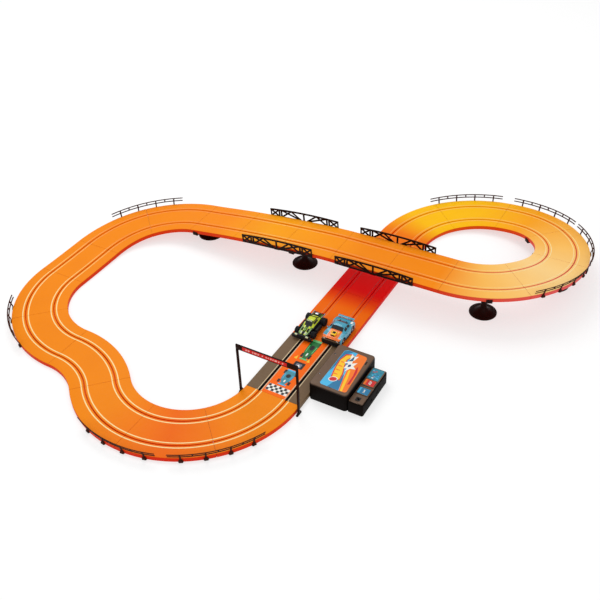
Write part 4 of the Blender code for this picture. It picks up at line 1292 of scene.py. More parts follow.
def make_cover_sticker():
    """A printed label of plain bands, streaks, an oval and a winged star."""
    low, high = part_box("battery_cover")
    bm = bmesh.new()
    palette = [CYAN, BLUE, YELLOW, ORANGE, RED, WHITE, NAVY]
    cyan, blue, yellow, orange, red, white, navy = range(len(palette))
    base = Matrix.Translation((low.x, low.y, high.z))

    def layer(points, number, slot):
        outline = [(x * MM, y * MM) for x, y in points]
        add_plate(bm, outline, -0.05 * MM, (0.08 + 0.05 * number) * MM, slot, base)

    layer([(25, 16), (30, 12), (81, 11), (70, 60), (64, 96), (62, 158), (34, 159), (26, 152)], 0, cyan)
    layer([(81, 11), (98, 12), (101, 16), (96, 100), (93, 150), (88, 156), (62, 158), (64, 96), (70, 60)], 0,
          orange)
    layer([(48, 11.5), (80, 11.5), (72, 52), (66, 70), (58, 44)], 1, blue)
    layer([(26, 60), (33, 100), (36, 140), (50, 157), (36, 158), (27, 151)], 1, blue)
    layer([(84, 12), (90, 12), (82, 60), (74, 92), (70, 88), (76, 52)], 1, yellow)
    layer([(90, 40), (96, 44), (93, 92), (86, 112), (84, 106), (89, 76)], 1, red)
    layer([(40, 44), (66, 44), (64, 70), (55, 98), (50, 124), (62, 142), (52, 150), (36, 142), (30, 116),
           (33, 80)], 2, red)
    layer([(43, 47), (63, 47), (61, 69), (52, 97), (47, 123), (55, 139), (50, 144), (39, 138), (33, 115),
           (36, 80)],
          3, yellow)
    for y in (60, 76, 92, 108):
        layer([(38, y), (52 - (y - 60) / 16, y + 1), (50 - (y - 60) / 16, y + 4), (37, y + 5)], 4, orange)
    layer(ellipse(49, 42, 12, 9, 0.5), 5, white)
    layer(ellipse(49, 42, 10, 7.2, 0.5), 6, red)
    layer([(62, 80), (70, 96), (84, 100), (74, 108), (78, 124), (66, 116), (60, 146), (54, 118), (46, 112),
           (56, 104),
           (54, 90), (62, 94)], 5, white)
    layer([(56, 120), (66, 128), (70, 148), (60, 142), (50, 150)], 5, white)
    layer([(62, 98), (68, 104), (66, 112), (60, 108)], 6, navy)
    layer([(58, 124), (64, 130), (62, 136), (57, 130)], 6, blue)
    layer([(52, 104), (58, 107), (56, 112), (51, 110)], 6, blue)
    make_piece("battery_cover_label", bm, palette, "battery_cover")


def add_jack_hole(cutter, middle, low, high):
    """The square hole for the adaptor's plug, ready to be cut."""
    y = JACK_PLACE + ORIGIN.y
    add_slab(cutter, (middle - JACK_HALF, y - JACK_HALF, low), (middle + JACK_HALF, y + JACK_HALF, high),
             0.8 * MM)


def make_socket_block():
    """The block, with a hole in its top for the adaptor and two in its side for the controllers."""
    low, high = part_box("socket_block")
    top = high.z - PAD_RISE
    bm = bmesh.new()
    add_slab(bm, low, (high.x, high.y, top), 5.0 * MM, 2.4 * MM, 1.0 * MM)
    block = loose_piece("socket_block_shell", bm, [BOX_DARK])
    cutter = bmesh.new()
    add_jack_hole(cutter, (low.x + high.x) / 2, top - 7.4 * MM, top + MM)
    for place in CONTROLLER_PLACES:
        y = place + ORIGIN.y
        add_block(cutter, (high.x - 9 * MM, y - JACK_HALF, 12 * MM), (high.x + MM, y + JACK_HALF, 19.5 * MM))
    cut(block, cutter)
    settle(block, BODY, ["socket_block"])


def add_jack_pad(bm, low, high):
    """A raised pad in four parts, with a gap left for the adaptor's hole."""
    hole = JACK_FRAME_HALF
    side_width = (high[0] - low[0]) / 2 - hole
    y = JACK_PLACE + ORIGIN.y
    add_slab(bm, low, (low[0] + side_width, high[1], high[2]), 1.6 * MM, 0.6 * MM)
    add_slab(bm, (high[0] - side_width, low[1], low[2]), high, 1.6 * MM, 0.6 * MM)
    for first, second in ((low[1], y - hole), (y + hole, high[1])):
        add_slab(bm, (low[0] + side_width - MM, first, low[2]),
                 (high[0] - side_width + MM, second, high[2] - 0.12 * MM), 0.8 * MM, 0.5 * MM)


def make_socket_pads():
    """The block's top plate with a raised pad round each socket."""
    low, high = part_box("socket_block")
    top = high.z - PAD_RISE
    margin, half_pad = 3.2 * MM, 14.0 * MM
    bm = bmesh.new()
    for place in (JACK_PLACE, *CONTROLLER_PLACES):
        y = place + ORIGIN.y
        near = (low.x + margin, y - half_pad, top - MM)
        far = (high.x - margin, y + half_pad, top + PAD_RISE)
        if place == JACK_PLACE:
            add_jack_pad(bm, near, far)
        else:
            add_slab(bm, near, far, 2.2 * MM, 0.8 * MM)
    add_slab(bm, (low.x + 2.6 * MM, low.y + 3 * MM, top - 0.6 * MM),
             (high.x - 2.6 * MM, high.y - 3 * MM, top + 0.12 * MM), 3.0 * MM)
    pads = loose_piece("socket_block_pads", bm, [BOX_LID])
    cutter = bmesh.new()
    add_jack_hole(cutter, (low.x + high.x) / 2, top - 4 * MM, top + 4 * MM)
    cut(pads, cutter)
    settle(pads, BODY)


def add_digit(bm, centre, digit, slot):
    """A plain lane number built of strokes, read from the near side."""
    x, y, z = centre
    thick, half_t, half_h, half_w = 2.2 * MM, 1.1 * MM, 6.0 * MM, 3.5 * MM
    flag, serif = 0.8 * half_w, 1.6 * MM
    strokes = {
        "1": [(-half_t, -half_h, half_t, half_h), (-half_t - thick, half_h - 3.4 * MM, 0, half_h - 1.2 * MM),
              (-flag, -half_h, flag, serif - half_h)],
        "2": [(-half_w, half_h - thick, half_w, half_h), (half_w - thick, 0, half_w, half_h),
              (-half_w, -half_t, half_w, half_t), (-half_w, -half_h, thick - half_w, 0),
              (-half_w, -half_h, half_w, thick - half_h)],
    }
    for left, near, right, far in strokes[digit]:
        add_block(bm, (x + left, y + near, z - 0.1 * MM), (x + right, y + far, z + 0.25 * MM), slot=slot)


def add_jack_contact(bm, middle, top, face, black, steel):
    """The adaptor jack's pin, and the raised rim round its hole."""
    y = JACK_PLACE + ORIGIN.y
    add_turned(bm, [(0, 0), (1.0 * MM, 0), (1.0 * MM, 5 * MM), (0, 5.4 * MM)], (middle, y, top - 7.3 * MM),
               16,
               slot=steel)
    reach, hole, rim = 6.4 * MM, JACK_FRAME_HALF, 0.5 * MM
    for x_low, y_low, x_high, y_high in ((-reach, -reach, -hole, reach), (hole, -reach, reach, reach),
                                         (-hole, -reach, hole, -hole), (-hole, hole, hole, reach)):
        add_block(bm, (middle + x_low, y + y_low, face - 0.1 * MM),
                  (middle + x_high, y + y_high, face + rim),
                  slot=black)


def make_socket_labels():
    """Numbered labels by the controllers' sockets, a printed strip of plain flecks, and the jack's parts."""
    low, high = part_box("socket_block")
    top, face = high.z - PAD_RISE, high.z
    middle = (low.x + high.x) / 2
    bm = bmesh.new()
    palette = [BLACK, BLUE, CYAN, RED, ORANGE, TEAL, WHITE, STEEL]
    black, blue, cyan, red, orange, teal, white, steel = range(len(palette))
    for place, ground, edge in zip(CONTROLLER_PLACES, (blue, red), (cyan, orange)):
        y = place + ORIGIN.y
        # Insets from the left and the right, half length, heights below and above the pad, corner, and ink
        for left, right, half, sunk, rise, corner, ink in ((6, 6, 12, 0.05, 0.12, 1.6, black),
                                                           (7.2, 7.2, 10.8, 0, 0.18, 1.2, edge),
                                                           (13, 7.6, 10.0, 0, 0.24, 1.2, ground)):
            add_slab(bm, (low.x + left * MM, y - half * MM, face - sunk * MM),
                     (high.x - right * MM, y + half * MM, face + rise * MM), corner * MM, slot=ink)
    for digit, place in zip("12", CONTROLLER_PLACES):
        add_digit(bm, (middle + 1.5 * MM, place + ORIGIN.y, face + 0.2 * MM), digit, white)
    start, end = 0.1495 + ORIGIN.y, high.y - 3.4 * MM
    add_slab(bm, (low.x + 5 * MM, start, top + 0.05 * MM), (high.x - 6 * MM, end, top + 0.25 * MM), 2 * MM,
             slot=teal)
    rng = random.Random(11)
    for number in range(30):
        x, y = rng.uniform(low.x + 7 * MM, high.x - 14 * MM), rng.uniform(start + 2 * MM, end - 6 * MM)
        rise = (0.30 + 0.01 * number) * MM
        far = (x + rng.uniform(3, 7) * MM, y + rng.uniform(1.4, 3.6) * MM, top + rise)
        ink = rng.choice((cyan, blue, white, red, cyan, blue))
        add_slab(bm, (x, y, top + 0.1 * MM), far, 0.4 * MM, slot=ink)
    add_jack_contact(bm, middle, top, face, black, steel)
    make_piece("socket_block_labels", bm, palette)


def make_board():
    """The bare board of the CAD model is kept, and gets its parts."""
    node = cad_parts["control_board"]
    node.data.materials.clear()
    node.data.materials.append(BOARD)
    low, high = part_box("control_board")
    bm = bmesh.new()
    rng = random.Random(3)
    for i in range(9):
        x = low.x + (8 + 10 * i) * MM
        if i % 3 == 0:
            add_turned(bm, [(0, 0), (3 * MM, 0), (3 * MM, 8 * MM), (2.6 * MM, 8.6 * MM), (0, 8.6 * MM)],
                       (x, (low.y + high.y) / 2, high.z - 0.1 * MM), 24, slot=1)
        else:
            y = low.y + rng.uniform(5, 12) * MM
            add_block(bm, (x, y, high.z - 0.1 * MM), (x + 7 * MM, y + 5 * MM, high.z + 2 * MM), 0.3 * MM,
                      slot=0)
    make_piece("control_board_parts", bm, [BLACK, STEEL])


make_housing()
make_cover()
make_cover_sticker()
make_socket_block()
make_socket_pads()
make_socket_labels()
make_board()


# Cars ------------------------------------------------------------------------------------------------------
RIDE_GAP = 0.3 * MM
AXLE_RADIUS = 1.2 * MM
RIM_SHARE = 0.60
# Sections of each body from its nose: place along the car, then half width and height at the sill, at the
# shoulder and at the edge of the hood or roof, in mm
COUPE = {
    "name": "coupe", "lane": LANE_OFFSET, "nose_to_middle": 47, "outer": 29.0, "guide": -38,
    "front": (-27, 10.0, 9), "rear": (28, 10.8, 10), "arches": True, "plate": (-45, 45), "hub": "plated",
    "sections": [
        (-47, 25, 6, 24, 17, 17, 19.5), (-46, 27, 5, 26, 20, 18, 22),
        (-43, 28.8, 4.5, 27.6, 22.4, 17.6, 23.6),
        (-36, 30, 4.5, 29, 24.2, 17, 24.8), (-27, 30.4, 4.5, 29.4, 24.8, 17, 25.4),
        (-18, 30, 4.5, 28.6, 24.2, 17, 26.6), (-13, 29.8, 4.5, 28.2, 24.4, 18, 27.8),
        (-3.5, 29.8, 4.5, 27.4, 25.2, 17.5, 35.6), (2, 29.8, 4.5, 27.4, 25.8, 17.2, 36.6),
        (12, 29.8, 4.5, 27.4, 26.2, 17.2, 36.8), (17, 30, 4.5, 27.8, 26.8, 17.5, 35.8),
        (28, 30.4, 5, 29.4, 27.8, 18, 30.2), (34, 30.2, 5, 29.2, 27, 18.5, 28.4),
        (45, 29, 6, 27.8, 25.4, 19.5, 27.4),
        (49, 27, 8, 25.4, 22.6, 17.5, 24), (50, 25, 10, 23.4, 20.5, 15.5, 22),
    ],
}
BUGGY = {
    "name": "buggy", "lane": -LANE_OFFSET, "nose_to_middle": 53, "outer": 31.0, "guide": -46,
    "front": (-32, 10.5, 11), "rear": (31, 12.0, 13), "arches": False, "plate": (-53, 49), "hub": "black",
    "sections": [
        (-53, 12, 15.5, 10, 17.5, 6, 18.3), (-50, 14.5, 15, 13, 18.6, 8, 19.8),
        (-44, 16, 15, 15, 19.8, 9, 21.5),
        (-22, 17, 15, 16, 22.4, 10.5, 25), (-18, 17.5, 15, 16.5, 23, 11, 26),
        (-8, 18, 15, 17, 25, 11.5, 33.6),
        (-3, 18, 15, 17, 25, 11.6, 35), (12, 18, 15, 17, 25.4, 11.6, 35.2), (17, 18, 15, 17, 25.4, 11, 34),
        (26, 17, 15.5, 16, 25.4, 10.5, 29), (44, 15, 15.5, 14, 22.6, 9.5, 25.5),
        (51, 11.5, 17, 10.5, 20, 7, 21.5),
    ],
}
BODY_STEP = 2.0


def car_place(car):
    low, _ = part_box(car["name"] + "_body")
    return Matrix.Translation((ORIGIN.x + car["lane"], low.y + car["nose_to_middle"] * MM, DECK_HEIGHT))


def fine_sections(rows):
    """The table's rows taken at close steps, with their bends softened."""
    table = np.array(rows, dtype=float)
    count = int(round((table[-1, 0] - table[0, 0]) / BODY_STEP))
    places = np.linspace(table[0, 0], table[-1, 0], count + 1)
    columns = [np.interp(places, table[:, 0], table[:, column]) for column in range(1, table.shape[1])]
    for column in columns:
        for _ in range(2):
            column[1:-1] = 0.25 * column[:-2] + 0.5 * column[1:-1] + 0.25 * column[2:]
    return list(zip(places, *columns))


def half_section(sill, sill_z, shoulder, shoulder_z, roof, roof_z):
    """Points from the top middle down to the sill."""
    edge = (roof, roof_z - 1.5)
    rest = (shoulder - 0.7, shoulder_z + 0.5)

    def between(share):
        return (edge[0] + (rest[0] - edge[0]) * share, edge[1] + (rest[1] - edge[1]) * share)

    return [(0, roof_z), (0.45 * roof, roof_z - 0.1), (0.8 * roof, roof_z - 0.45), edge, between(0.2),
            between(0.8),
            rest, (shoulder + 0.1, shoulder_z - 0.7),
            (max(shoulder, sill) + 0.1, shoulder_z * 0.6 + sill_z * 0.4),
            (sill, sill_z + 1.6), (sill - 0.8, sill_z)]


def add_body_skin(bm, car, paint):
    """The body's outer skin, open below, with each face painted by its place."""
    rows = []
    for y, *numbers in fine_sections(car["sections"]):
        half = half_section(*numbers)
        ring = [(x, z) for x, z in reversed(half)] + [(-x, z) for x, z in half[1:]]
        rows.append([bm.verts.new((x * MM, y * MM, z * MM)) for x, z in ring])
    last = len(rows[0]) - 1
    for first, second in zip(rows, rows[1:]):
        for i in range(last):
            face = bm.faces.new((first[i], first[i + 1], second[i + 1], second[i]))
            band = abs(i - (last - 1) / 2) + 0.5
            centre = face.calc_center_median() / MM
            face.material_index = paint(centre.y, centre.z, int(round(band)) - 1)
    for row, end_y in ((rows[0], -99), (rows[-1], 99)):
        face = bm.faces.new(row)
        face.material_index = paint(end_y, 14, 9)
    bmesh.ops.recalc_face_normals(bm, faces=bm.faces)
    if max(bm.faces, key=lambda face: face.calc_center_median().z).normal.z < 0:
        bmesh.ops.reverse_faces(bm, faces=bm.faces)


def wheel_arches(car):
    """Cylinders to be cut from the body round its wheels."""
    cutter = bmesh.new()
    for end in ("front", "rear"):
        y, radius, _ = car[end]
        turn = Matrix.Translation((0, y * MM, radius * MM + RIDE_GAP)) @ ACROSS
        for side in (-1, 1):
            near, far = sorted((side * 15.5 * MM, side * 34 * MM))
            add_cylinder(cutter, (radius + 1.5) * MM, near, far, sides=40, matrix=turn)
    return cutter


def make_car_body(car, paint, palette):
    """The body as a thin shell, with wheel arches where the car has them."""
    bm = bmesh.new()
    add_body_skin(bm, car, paint)
    shell = loose_piece(car["name"] + "_shell", bm, palette, 28)
    thickness = shell.modifiers.new("thickness", "SOLIDIFY")
    thickness.thickness = 1.2 * MM
    thickness.offset = -1
    bake_modifiers(shell)
    shell.matrix_world = car_place(car)
    if car["arches"]:
        cut(shell, wheel_arches(car))
    settle(shell, car["name"], [car["name"] + "_body"])


def coupe_paint(y, z, band):
    """Index of the coupe's paint: teal, orange, glass, black, and white for a painted highlight."""
    teal, orange, glass, black, white = range(5)
    if band >= 9:
        return black
    if y < -45.6:
        return black if z < 20.5 else orange
    if y < -39 and band <= 5:
        return orange
    if band <= 2 and (-13 < y < -3.5 or 16.5 < y < 28):
        return glass
    if band == 4 and (-7 < y < 6.5 or 8.5 < y < 19):
        return glass
    if band <= 2 and y < -13.5:
        return orange
    # Painted highlight: white on the rear shoulders
    if band == 6 and 21 < y < 34:
        return white
    return teal


def buggy_paint(y, z, band):
    """Index of the buggy's paint: lime, green, black, glass or pale."""
    lime, green, black, glass, pale = range(5)
    if y < -50:
        return black
    if -48 < y < -40 and band in (1, 2):
        return pale
    if -18 < y < -7 and band <= 2:
        return glass
    if -6 < y < 14 and band == 4:
        return glass
    if y <= -18:
        if band == 0:
            return black
        return lime if band <= 2 else green if band <= 5 else black
    if y > 27:
        return black if band <= 1 else green
    if band >= 7:
        return black
    return lime


def add_tyre(bm, place, wheel, half, chunky):
    """A tyre turned about Z with a grooved tread, and with lugs when it is a chunky one."""
    rim = RIM_SHARE * wheel
    tread = wheel - (0.5 * MM if chunky else 0.05 * MM)
    groove = tread - 0.35 * MM
    outer = [(rim, half - 0.6 * MM), (rim + 0.6 * MM, half), (0.86 * wheel, half),
             (0.96 * tread, half - 0.7 * MM),
             (tread, half - 1.7 * MM), (tread, 0.4 * MM), (groove, 0.25 * MM)]
    profile = [(radius, -height) for radius, height in outer] + outer[::-1]
    rings = [[Vector((radius * math.cos(a), radius * math.sin(a), height)) for radius, height in profile]
             for a in circle_angles(40)]
    add_loft(bm, rings + rings[:1], place, caps=False, weld=True)
    if not chunky:
        return
    for i in range(18):
        turn = place @ Matrix.Rotation(2 * math.pi * i / 18, 4, "Z")
        for low, high, twist in ((0.8 * MM - half, -0.3 * MM, 0.0), (0.3 * MM, half - 0.8 * MM, 0.17)):
            add_block(bm, (tread - 0.5 * MM, -1.2 * MM, low), (wheel - 0.02 * MM, 1.2 * MM, high), 0.15 * MM,
                      1,
                      matrix=turn @ Matrix.Rotation(twist, 4, "Z"))


def add_hub(bm, place, side, wheel, half):
    """A dished hub with five spokes."""
    rim = RIM_SHARE * wheel
    face = half - 0.9 * MM
    dish = [(0, 1.2 * MM - half), (rim, 1.2 * MM - half), (rim, half - 0.7 * MM),
            (rim - 0.7 * MM, half - 0.5 * MM),
            (rim - 1.1 * MM, face - 1.0 * MM), (0.30 * rim, face - 1.4 * MM), (0.26 * rim, face), (0, face)]
    add_turned(bm, [(radius, side * height) for radius, height in dish], sides=40, matrix=place, slot=1)
    low, high = sorted((side * (face - 1.2 * MM), side * (face + 0.1 * MM)))
    for i in range(5):
        spoke = place @ Matrix.Rotation(2 * math.pi * i / 5, 4, "Z")
        add_block(bm, (0.2 * rim, -0.7 * MM, low), (rim - 0.4 * MM, 0.7 * MM, high), 0.2 * MM, 1,
                  matrix=spoke, slot=1)


def add_wheel_pair(bm, radius, width, outer, chunky):
    """Two wheels on one axle along X."""
    wheel, half = radius * MM, width * MM / 2
    for side in (-1, 1):
        place = Matrix.Translation((side * (outer * MM - half), 0, 0)) @ ACROSS
        add_tyre(bm, place, wheel, half, chunky)
        add_hub(bm, place, side, wheel, half)
    reach = (outer - width / 2) * MM
    add_cylinder(bm, AXLE_RADIUS, -reach, reach, sides=16, matrix=ACROSS, slot=2)


def make_wheels(car, end):
    y, radius, width = car[end]
    name = f"{car['name']}_{end}"
    bm = bmesh.new()
    add_wheel_pair(bm, radius, width, car["outer"], not car["arches"])
    if end == "rear":
        gear = [(0, 2.6), (3.9, 2.6), (3.9, 5.4), (2.6, 5.4), (0, 5.4)]
        add_turned(bm, [(r * MM, x * MM) for r, x in gear], sides=28, matrix=ACROSS, slot=3)
    bm.transform(car_place(car) @ Matrix.Translation((0, y * MM, radius * MM + RIDE_GAP)))
    hub = CHROME if car["hub"] == "plated" else CHASSIS
    make_piece(name + "_tyres", bm, [TYRE, hub, STEEL, WHITE], name + "_axle",
               [name + "_wheels"])


def make_car_floor(car):
    """A ribbed floor plate with a bearing block beside each wheel."""
    low, high = 3.2 * MM, 5.6 * MM
    nose, tail = car["plate"]
    bm = bmesh.new()
    add_slab(bm, (-13 * MM, nose * MM, low), (13 * MM, tail * MM, high), 3 * MM, 0.4 * MM, 0.4 * MM)
    cutter = bmesh.new()
    add_cylinder(cutter, 2.3 * MM, 0, 10 * MM, (0, car["guide"] * MM, 0))
    for end in ("front", "rear"):
        y, radius, _ = car[end]
        axle_z = radius * MM + RIDE_GAP
        for side in (-1, 1):
            left, right = sorted((side * 8.5 * MM, side * 12.0 * MM))
            add_block(bm, (left, (y - 3.5) * MM, low + 0.5 * MM), (right, (y + 3.5) * MM, axle_z + 3 * MM),
                      0.5 * MM)
        add_cylinder(cutter, 1.5 * MM, -20 * MM, 20 * MM,
                     matrix=Matrix.Translation((0, y * MM, axle_z)) @ ACROSS)
    for x in (-10.5, -6.5, 6.5, 10.5):
        add_block(bm, ((x - 0.5) * MM, -22 * MM, high - 0.2 * MM), ((x + 0.5) * MM, 3 * MM, high + 1.2 * MM),
                  0.2 * MM)
    plate = loose_piece(car["name"] + "_floor_plate", bm, [CHASSIS])
    join_parts(plate)
    cut(plate, cutter)
    plate.matrix_world = car_place(car)
    settle(plate, car["name"], [car["name"] + "_chassis"])


def make_car_motor(car):
    """A motor can lying along the car, with its black end cap."""
    low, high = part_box(car["name"] + "_motor")
    half_x, length, half_z = (high - low) / 2
    inset, cap = 0.3 * MM, 3.0 * MM
    turn = Matrix.Translation((low + high) / 2) @ Matrix.Rotation(math.radians(90), 4, "X")
    bm = bmesh.new()
    add_slab(bm, (-half_x, -half_z, cap - length), (half_x, half_z, length), 3 * MM, 0.8 * MM, 0.3 * MM, 0,
             turn)
    add_slab(bm, (inset - half_x, inset - half_z, -length),
             (half_x - inset, half_z - inset, cap + 0.2 * MM - length),
             2.6 * MM, 0.2 * MM, 0.6 * MM, 1, turn)
    make_piece(car["name"] + "_motor_can", bm, [STEEL, BLACK], car["name"],
               [car["name"] + "_motor"])


def make_guide(car):
    """The swivelling guide: stem, disc, blade, a cross arm and the two pick-up braids."""
    bm = bmesh.new()
    stem = [(0, 1.2), (5.6, 1.2), (6.0, 1.6), (6.0, 2.1), (5.6, 2.4), (2.0, 2.4), (2.0, 6.6), (0, 6.6)]
    add_turned(bm, [(radius * MM, height * MM) for radius, height in stem])
    add_slab(bm, (-0.9 * MM, -3.0 * MM, -4.4 * MM), (0.9 * MM, 3.0 * MM, 1.5 * MM), 0.7 * MM, 0, 0.3 * MM)
    add_slab(bm, (-9.4 * MM, -1.6 * MM, 1.3 * MM), (9.4 * MM, 1.6 * MM, 2.3 * MM), 1.0 * MM, 0.3 * MM)
    for x in (-8.0 * MM, 8.0 * MM):
        points = [(x, y * MM, z * MM) for y, z in ((-1.0, 1.5), (1.2, 1.1), (3.6, 0.85), (5.4, 0.75))]
        for first, second in zip(points, points[1:]):
            add_bar(bm, first, second, (1, 0, 0), 1.0 * MM, 0.22 * MM, 0.05 * MM, slot=1)
    bm.transform(car_place(car) @ Matrix.Translation((0, car["guide"] * MM, 0)))
    make_piece(car["name"] + "_guide_flag", bm, [CHASSIS, COPPER], car["name"] + "_pickup",
               [car["name"] + "_guide"])


def block_mm(bm, low, high, radius=0.0, slot=0):
    add_block(bm, [number * MM for number in low], [number * MM for number in high], radius * MM, slot=slot)


def side_block(bm, side, near, far, radius, slot):
    """A block on one side of a car, from its corners on the right, in mm."""
    left, right = sorted((side * near[0], side * far[0]))
    block_mm(bm, (left, *near[1:]), (right, *far[1:]), radius, slot)


def tube_mm(bm, points, radius, sides, slot):
    add_tube(bm, [[number * MM for number in point] for point in points], radius * MM, sides, slot)


def make_coupe_fittings():
    """The coupe's bumpers, enlarged to paint the shadow at its front, lamps, sills, mirrors, intake, wing,
    exhausts and a painted highlight.
    """
    bm = bmesh.new()
    palette = [CHASSIS, COUPE_ORANGE, YELLOW, WHITE, RED, CHROME, COUPE_TEAL, BROWN]
    black, orange, yellow, white, red, chrome, teal, brown = range(len(palette))
    # The black splitter and tall bumper: partly the real bumper, and made large to paint the shadow under
    # the car's front
    block_mm(bm, (-26.5, -52.5, 2.8), (26.5, -45.5, 6.4), 1.2, black)
    block_mm(bm, (-28, -51.2, 5.6), (28, -45.2, 16.6), 2.0, black)
    block_mm(bm, (-27.4, -50.8, 16.2), (27.4, -47.4, 18.2), 0.7, brown)
    block_mm(bm, (-25, -48.6, 17.6), (25, -45.2, 21.4), 0.8, black)
    block_mm(bm, (-25.4, -48.8, 21.0), (25.4, -45.0, 23.4), 0.9, orange)
    for side in (-1, 1):
        side_block(bm, side, (17, -49.2, 18.2), (23, -46.0, 20.6), 0.5, white)
        side_block(bm, side, (13, 48.6, 17.0), (23, 50.7, 20.6), 0.4, red)
        side_block(bm, side, (29.4, -14, 4.2), (30.9, 14, 7.8), 0.5, black)
        side_block(bm, side, (27.8, -10.5, 25.2), (31.8, -7.3, 27.8), 0.7, teal)
        side_block(bm, side, (8.8, 18.0, 27.5), (10.4, 30.5, 30.8), 0.2, black)
        side_block(bm, side, (17.5, 43.5, 26.0), (19.5, 47.5, 30.0), 0.3, black)
        tube_mm(bm, [(side * 10, 46, 6.0), (side * 10, 52, 5.7)], 1.8, 14, chrome)
    block_mm(bm, (-7.5, -37.5, 23.8), (7.5, -19.5, 29.4), 2.0, yellow)
    block_mm(bm, (-6.0, -38.0, 25.2), (6.0, -32.0, 28.7), 0.8, black)
    block_mm(bm, (-4.2, -31.0, 28.6), (4.2, -22.5, 29.9), 0.5, black)
    block_mm(bm, (-12.4, -26, 25.2), (-10.0, -15.5, 26.9), 0.3, yellow)
    block_mm(bm, (10.0, -26, 25.2), (12.4, -15.5, 26.9), 0.3, yellow)
    block_mm(bm, (-24.5, 42.5, 29.6), (24.5, 50.5, 31.6), 0.7, teal)
    block_mm(bm, (-23, 49.0, 5.0), (23, 51.4, 9.6), 0.7, black)
    # Painted highlight: a white block on the right rear shoulder
    block_mm(bm, (20.5, 29.0, 26.6), (26.8, 39.0, 28.6), 0.6, white)
    bm.transform(car_place(COUPE))
    make_piece("coupe_fittings", bm, palette, "coupe")


def make_buggy_fittings():
    """The buggy's bumper, enlarged to paint the shadow at its front, side pods, wishbones, roll cage,
    exhausts, lamps and engine.
    """
    bm = bmesh.new()
    palette = [CHASSIS, BUGGY_PALE, CHROME, RED, BUGGY_GREEN, STEEL]
    black, pale, chrome, red, green, steel = range(len(palette))
    # The black bumper: partly the real bumper, and made large to paint the thick shadow at the car's front
    block_mm(bm, (-30.5, -58.0, 4.0), (30.5, -50.5, 14.5), 2.2, black)
    block_mm(bm, (-24, -57.0, 13.5), (24, -50.0, 18.0), 1.6, black)
    block_mm(bm, (-11, -53.5, 4.5), (11, -44, 15.8), 1.0, black)
    for side in (-1, 1):
        side_block(bm, side, (13.0, -57.6, 14.6), (21.0, -53.6, 18.6), 0.6, pale)
        side_block(bm, side, (13.5, -18.5, 5.0), (28.5, 14.5, 12.0), 1.4, black)
        side_block(bm, side, (17.5, -16, 11.6), (28.0, 12, 16.5), 1.6, black)
        side_block(bm, side, (16.5, -21, 20.5), (19.5, 24, 22.4), 0.6, black)
        for y, radius, _ in (BUGGY["front"], BUGGY["rear"]):
            for offset in (-7.5, 7.5):
                tube_mm(bm, [(side * 12, y + offset, 15.4), (side * 16.6, y + offset * 0.5, radius + 2.9)],
                        0.9, 10,
                        steel)
        tube_mm(bm, [(side * 12.5, -9, 26), (side * 12.4, -6, 35.0), (side * 12.0, 14, 35.6),
                     (side * 11, 29, 27.5),
                     (side * 10, 45, 24.5)], 1.1, 12, black)
        tube_mm(bm, [(side * 15.5, 30, 24), (side * 17, 44, 22.5), (side * 16.5, 52, 22.5)], 1.7, 12, chrome)
    for y in (-5.5, 14.5):
        tube_mm(bm, [(-12, y, 35.2), (12, y, 35.2)], 1.0, 12, black)
    for x in (-6.5, -2.2, 2.2, 6.5):
        block_mm(bm, (x - 1.6, -9.5, 34.2), (x + 1.6, -6.5, 37.0), 0.6, pale)
    block_mm(bm, (-8, 30, 24.5), (8, 43, 29.0), 1.2, black)
    block_mm(bm, (-5.5, 32, 28.4), (5.5, 41, 31.0), 0.8, steel)
    for x in (-8.5, 8.5):
        block_mm(bm, (x - 2.0, -39, 20.6), (x + 2.0, -27, 24.6), 0.6, black)
    block_mm(bm, (-3, -40, 21.6), (3, -24, 25.4), 0.7, green)
    block_mm(bm, (-16, 49, 19), (16, 52.5, 21.5), 0.6, black)
    for x in (-9, 9):
        block_mm(bm, (x - 2.5, 50.2, 21.5), (x + 2.5, 52.2, 24.0), 0.4, red)
    bm.transform(car_place(BUGGY))
    make_piece("buggy_fittings", bm, palette, "buggy")


make_car_body(COUPE, coupe_paint, [COUPE_TEAL, COUPE_ORANGE, GLASS, CHASSIS, WHITE])
make_car_body(BUGGY, buggy_paint, [BUGGY_LIME, BUGGY_GREEN, CHASSIS, GLASS, BUGGY_PALE])
for car in (COUPE, BUGGY):
    for end in ("front", "rear"):
        make_wheels(car, end)
    make_car_floor(car)
    make_car_motor(car)
    make_guide(car)
make_coupe_fittings()
make_buggy_fittings()


# Camera, floor and light -----------------------------------------------------------------------------------
# The view is given from the start of the circuit, in units of the curve radius, and the angles in degrees
CAMERA_TARGET = (-0.537, 1.517)
CAMERA_DISTANCE = 9.795
CAMERA_AZIMUTH = 30.9
CAMERA_ELEVATION = 38.0
CAMERA_ROLL = -2.04
CAMERA_FOCUS = 1.3817
SENSOR_WIDTH = 36.0
FLOOR_RADIUS = 60.0
FLOOR_GLOW = 0.60
FLOOR_WHITE = srgb(175, 175, 175)
SKY_STRENGTH = 0.70
# Name, place, size and power of each lamp
LAMPS = [("key", (-1.6, 1.2, 3.0), 2.2, 46), ("fill", (2.4, -2.6, 2.2), 2.5, 22)]


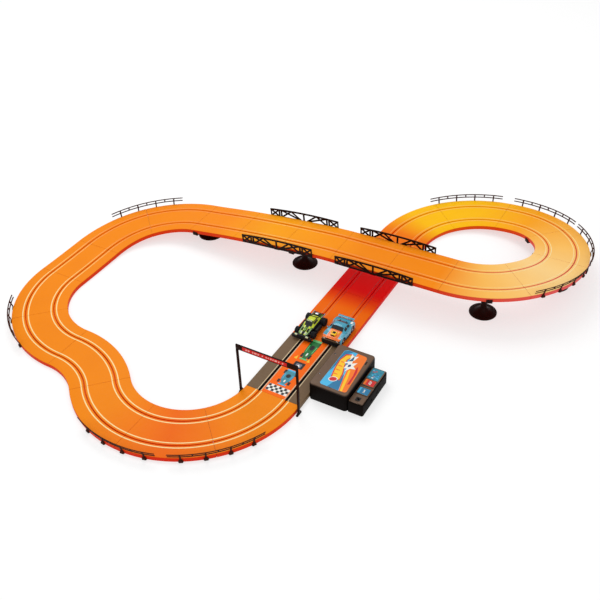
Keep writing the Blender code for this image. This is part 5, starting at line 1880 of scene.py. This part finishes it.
def make_camera():
    """The product view."""
    target = ORIGIN + Vector((*CAMERA_TARGET, 0)) * CURVE_RADIUS + Vector((0, 0, DECK_HEIGHT))
    azimuth, elevation, roll = (math.radians(a) for a in (CAMERA_AZIMUTH, CAMERA_ELEVATION, CAMERA_ROLL))
    back = Vector((math.sin(azimuth) * math.cos(elevation), -math.cos(azimuth) * math.cos(elevation),
                   math.sin(elevation)))
    right = (-back).cross(Vector((0, 0, 1))).normalized()
    up = right.cross(-back)
    rolled_right = math.cos(roll) * right + math.sin(roll) * up
    rolled_up = -math.sin(roll) * right + math.cos(roll) * up
    lens = bpy.data.cameras.new("camera")
    lens.sensor_width = SENSOR_WIDTH
    lens.lens = CAMERA_FOCUS * SENSOR_WIDTH
    lens.clip_end = 2.5 * FLOOR_RADIUS
    camera = bpy.data.objects.new("camera", lens)
    bpy.context.scene.collection.objects.link(camera)
    place = target + back * (CAMERA_DISTANCE * CURVE_RADIUS)
    turn = Matrix((rolled_right, rolled_up, back)).transposed()
    camera.matrix_world = Matrix.Translation(place) @ turn.to_4x4()
    bpy.context.scene.camera = camera


def make_floor():
    """A wide white disc with a faint glow, so that shadows on it stay soft."""
    bm = bmesh.new()
    bmesh.ops.create_circle(bm, cap_ends=True, segments=128, radius=FLOOR_RADIUS)
    mesh = bpy.data.meshes.new("floor")
    bm.to_mesh(mesh)
    bm.free()
    nodes = Nodes("floor_white")
    nodes.shader.inputs["Emission Color"].default_value = (1, 1, 1, 1)
    nodes.shader.inputs["Emission Strength"].default_value = FLOOR_GLOW
    mesh.materials.append(nodes.finish(FLOOR_WHITE, 0.85, sheen=0.1))
    floor = bpy.data.objects.new("floor", mesh)
    bpy.context.scene.collection.objects.link(floor)


def add_lamp(name, place, size, power):
    """A round area lamp that looks at the middle of the set."""
    light = bpy.data.lights.new(name, "AREA")
    light.shape = "DISK"
    light.size = size
    light.energy = power
    lamp = bpy.data.objects.new(name, light)
    bpy.context.scene.collection.objects.link(lamp)
    lamp.location = place
    lamp.rotation_euler = (-Vector(place)).to_track_quat("-Z", "Y").to_euler()


def make_light():
    world = bpy.data.worlds.new("studio")
    bpy.context.scene.world = world
    world.use_nodes = True
    background = world.node_tree.nodes["Background"]
    background.inputs["Color"].default_value = (1, 1, 1, 1)
    background.inputs["Strength"].default_value = SKY_STRENGTH
    for lamp in LAMPS:
        add_lamp(*lamp)


make_camera()
make_floor()
make_light()
bpy.context.scene.view_settings.view_transform = "Standard"
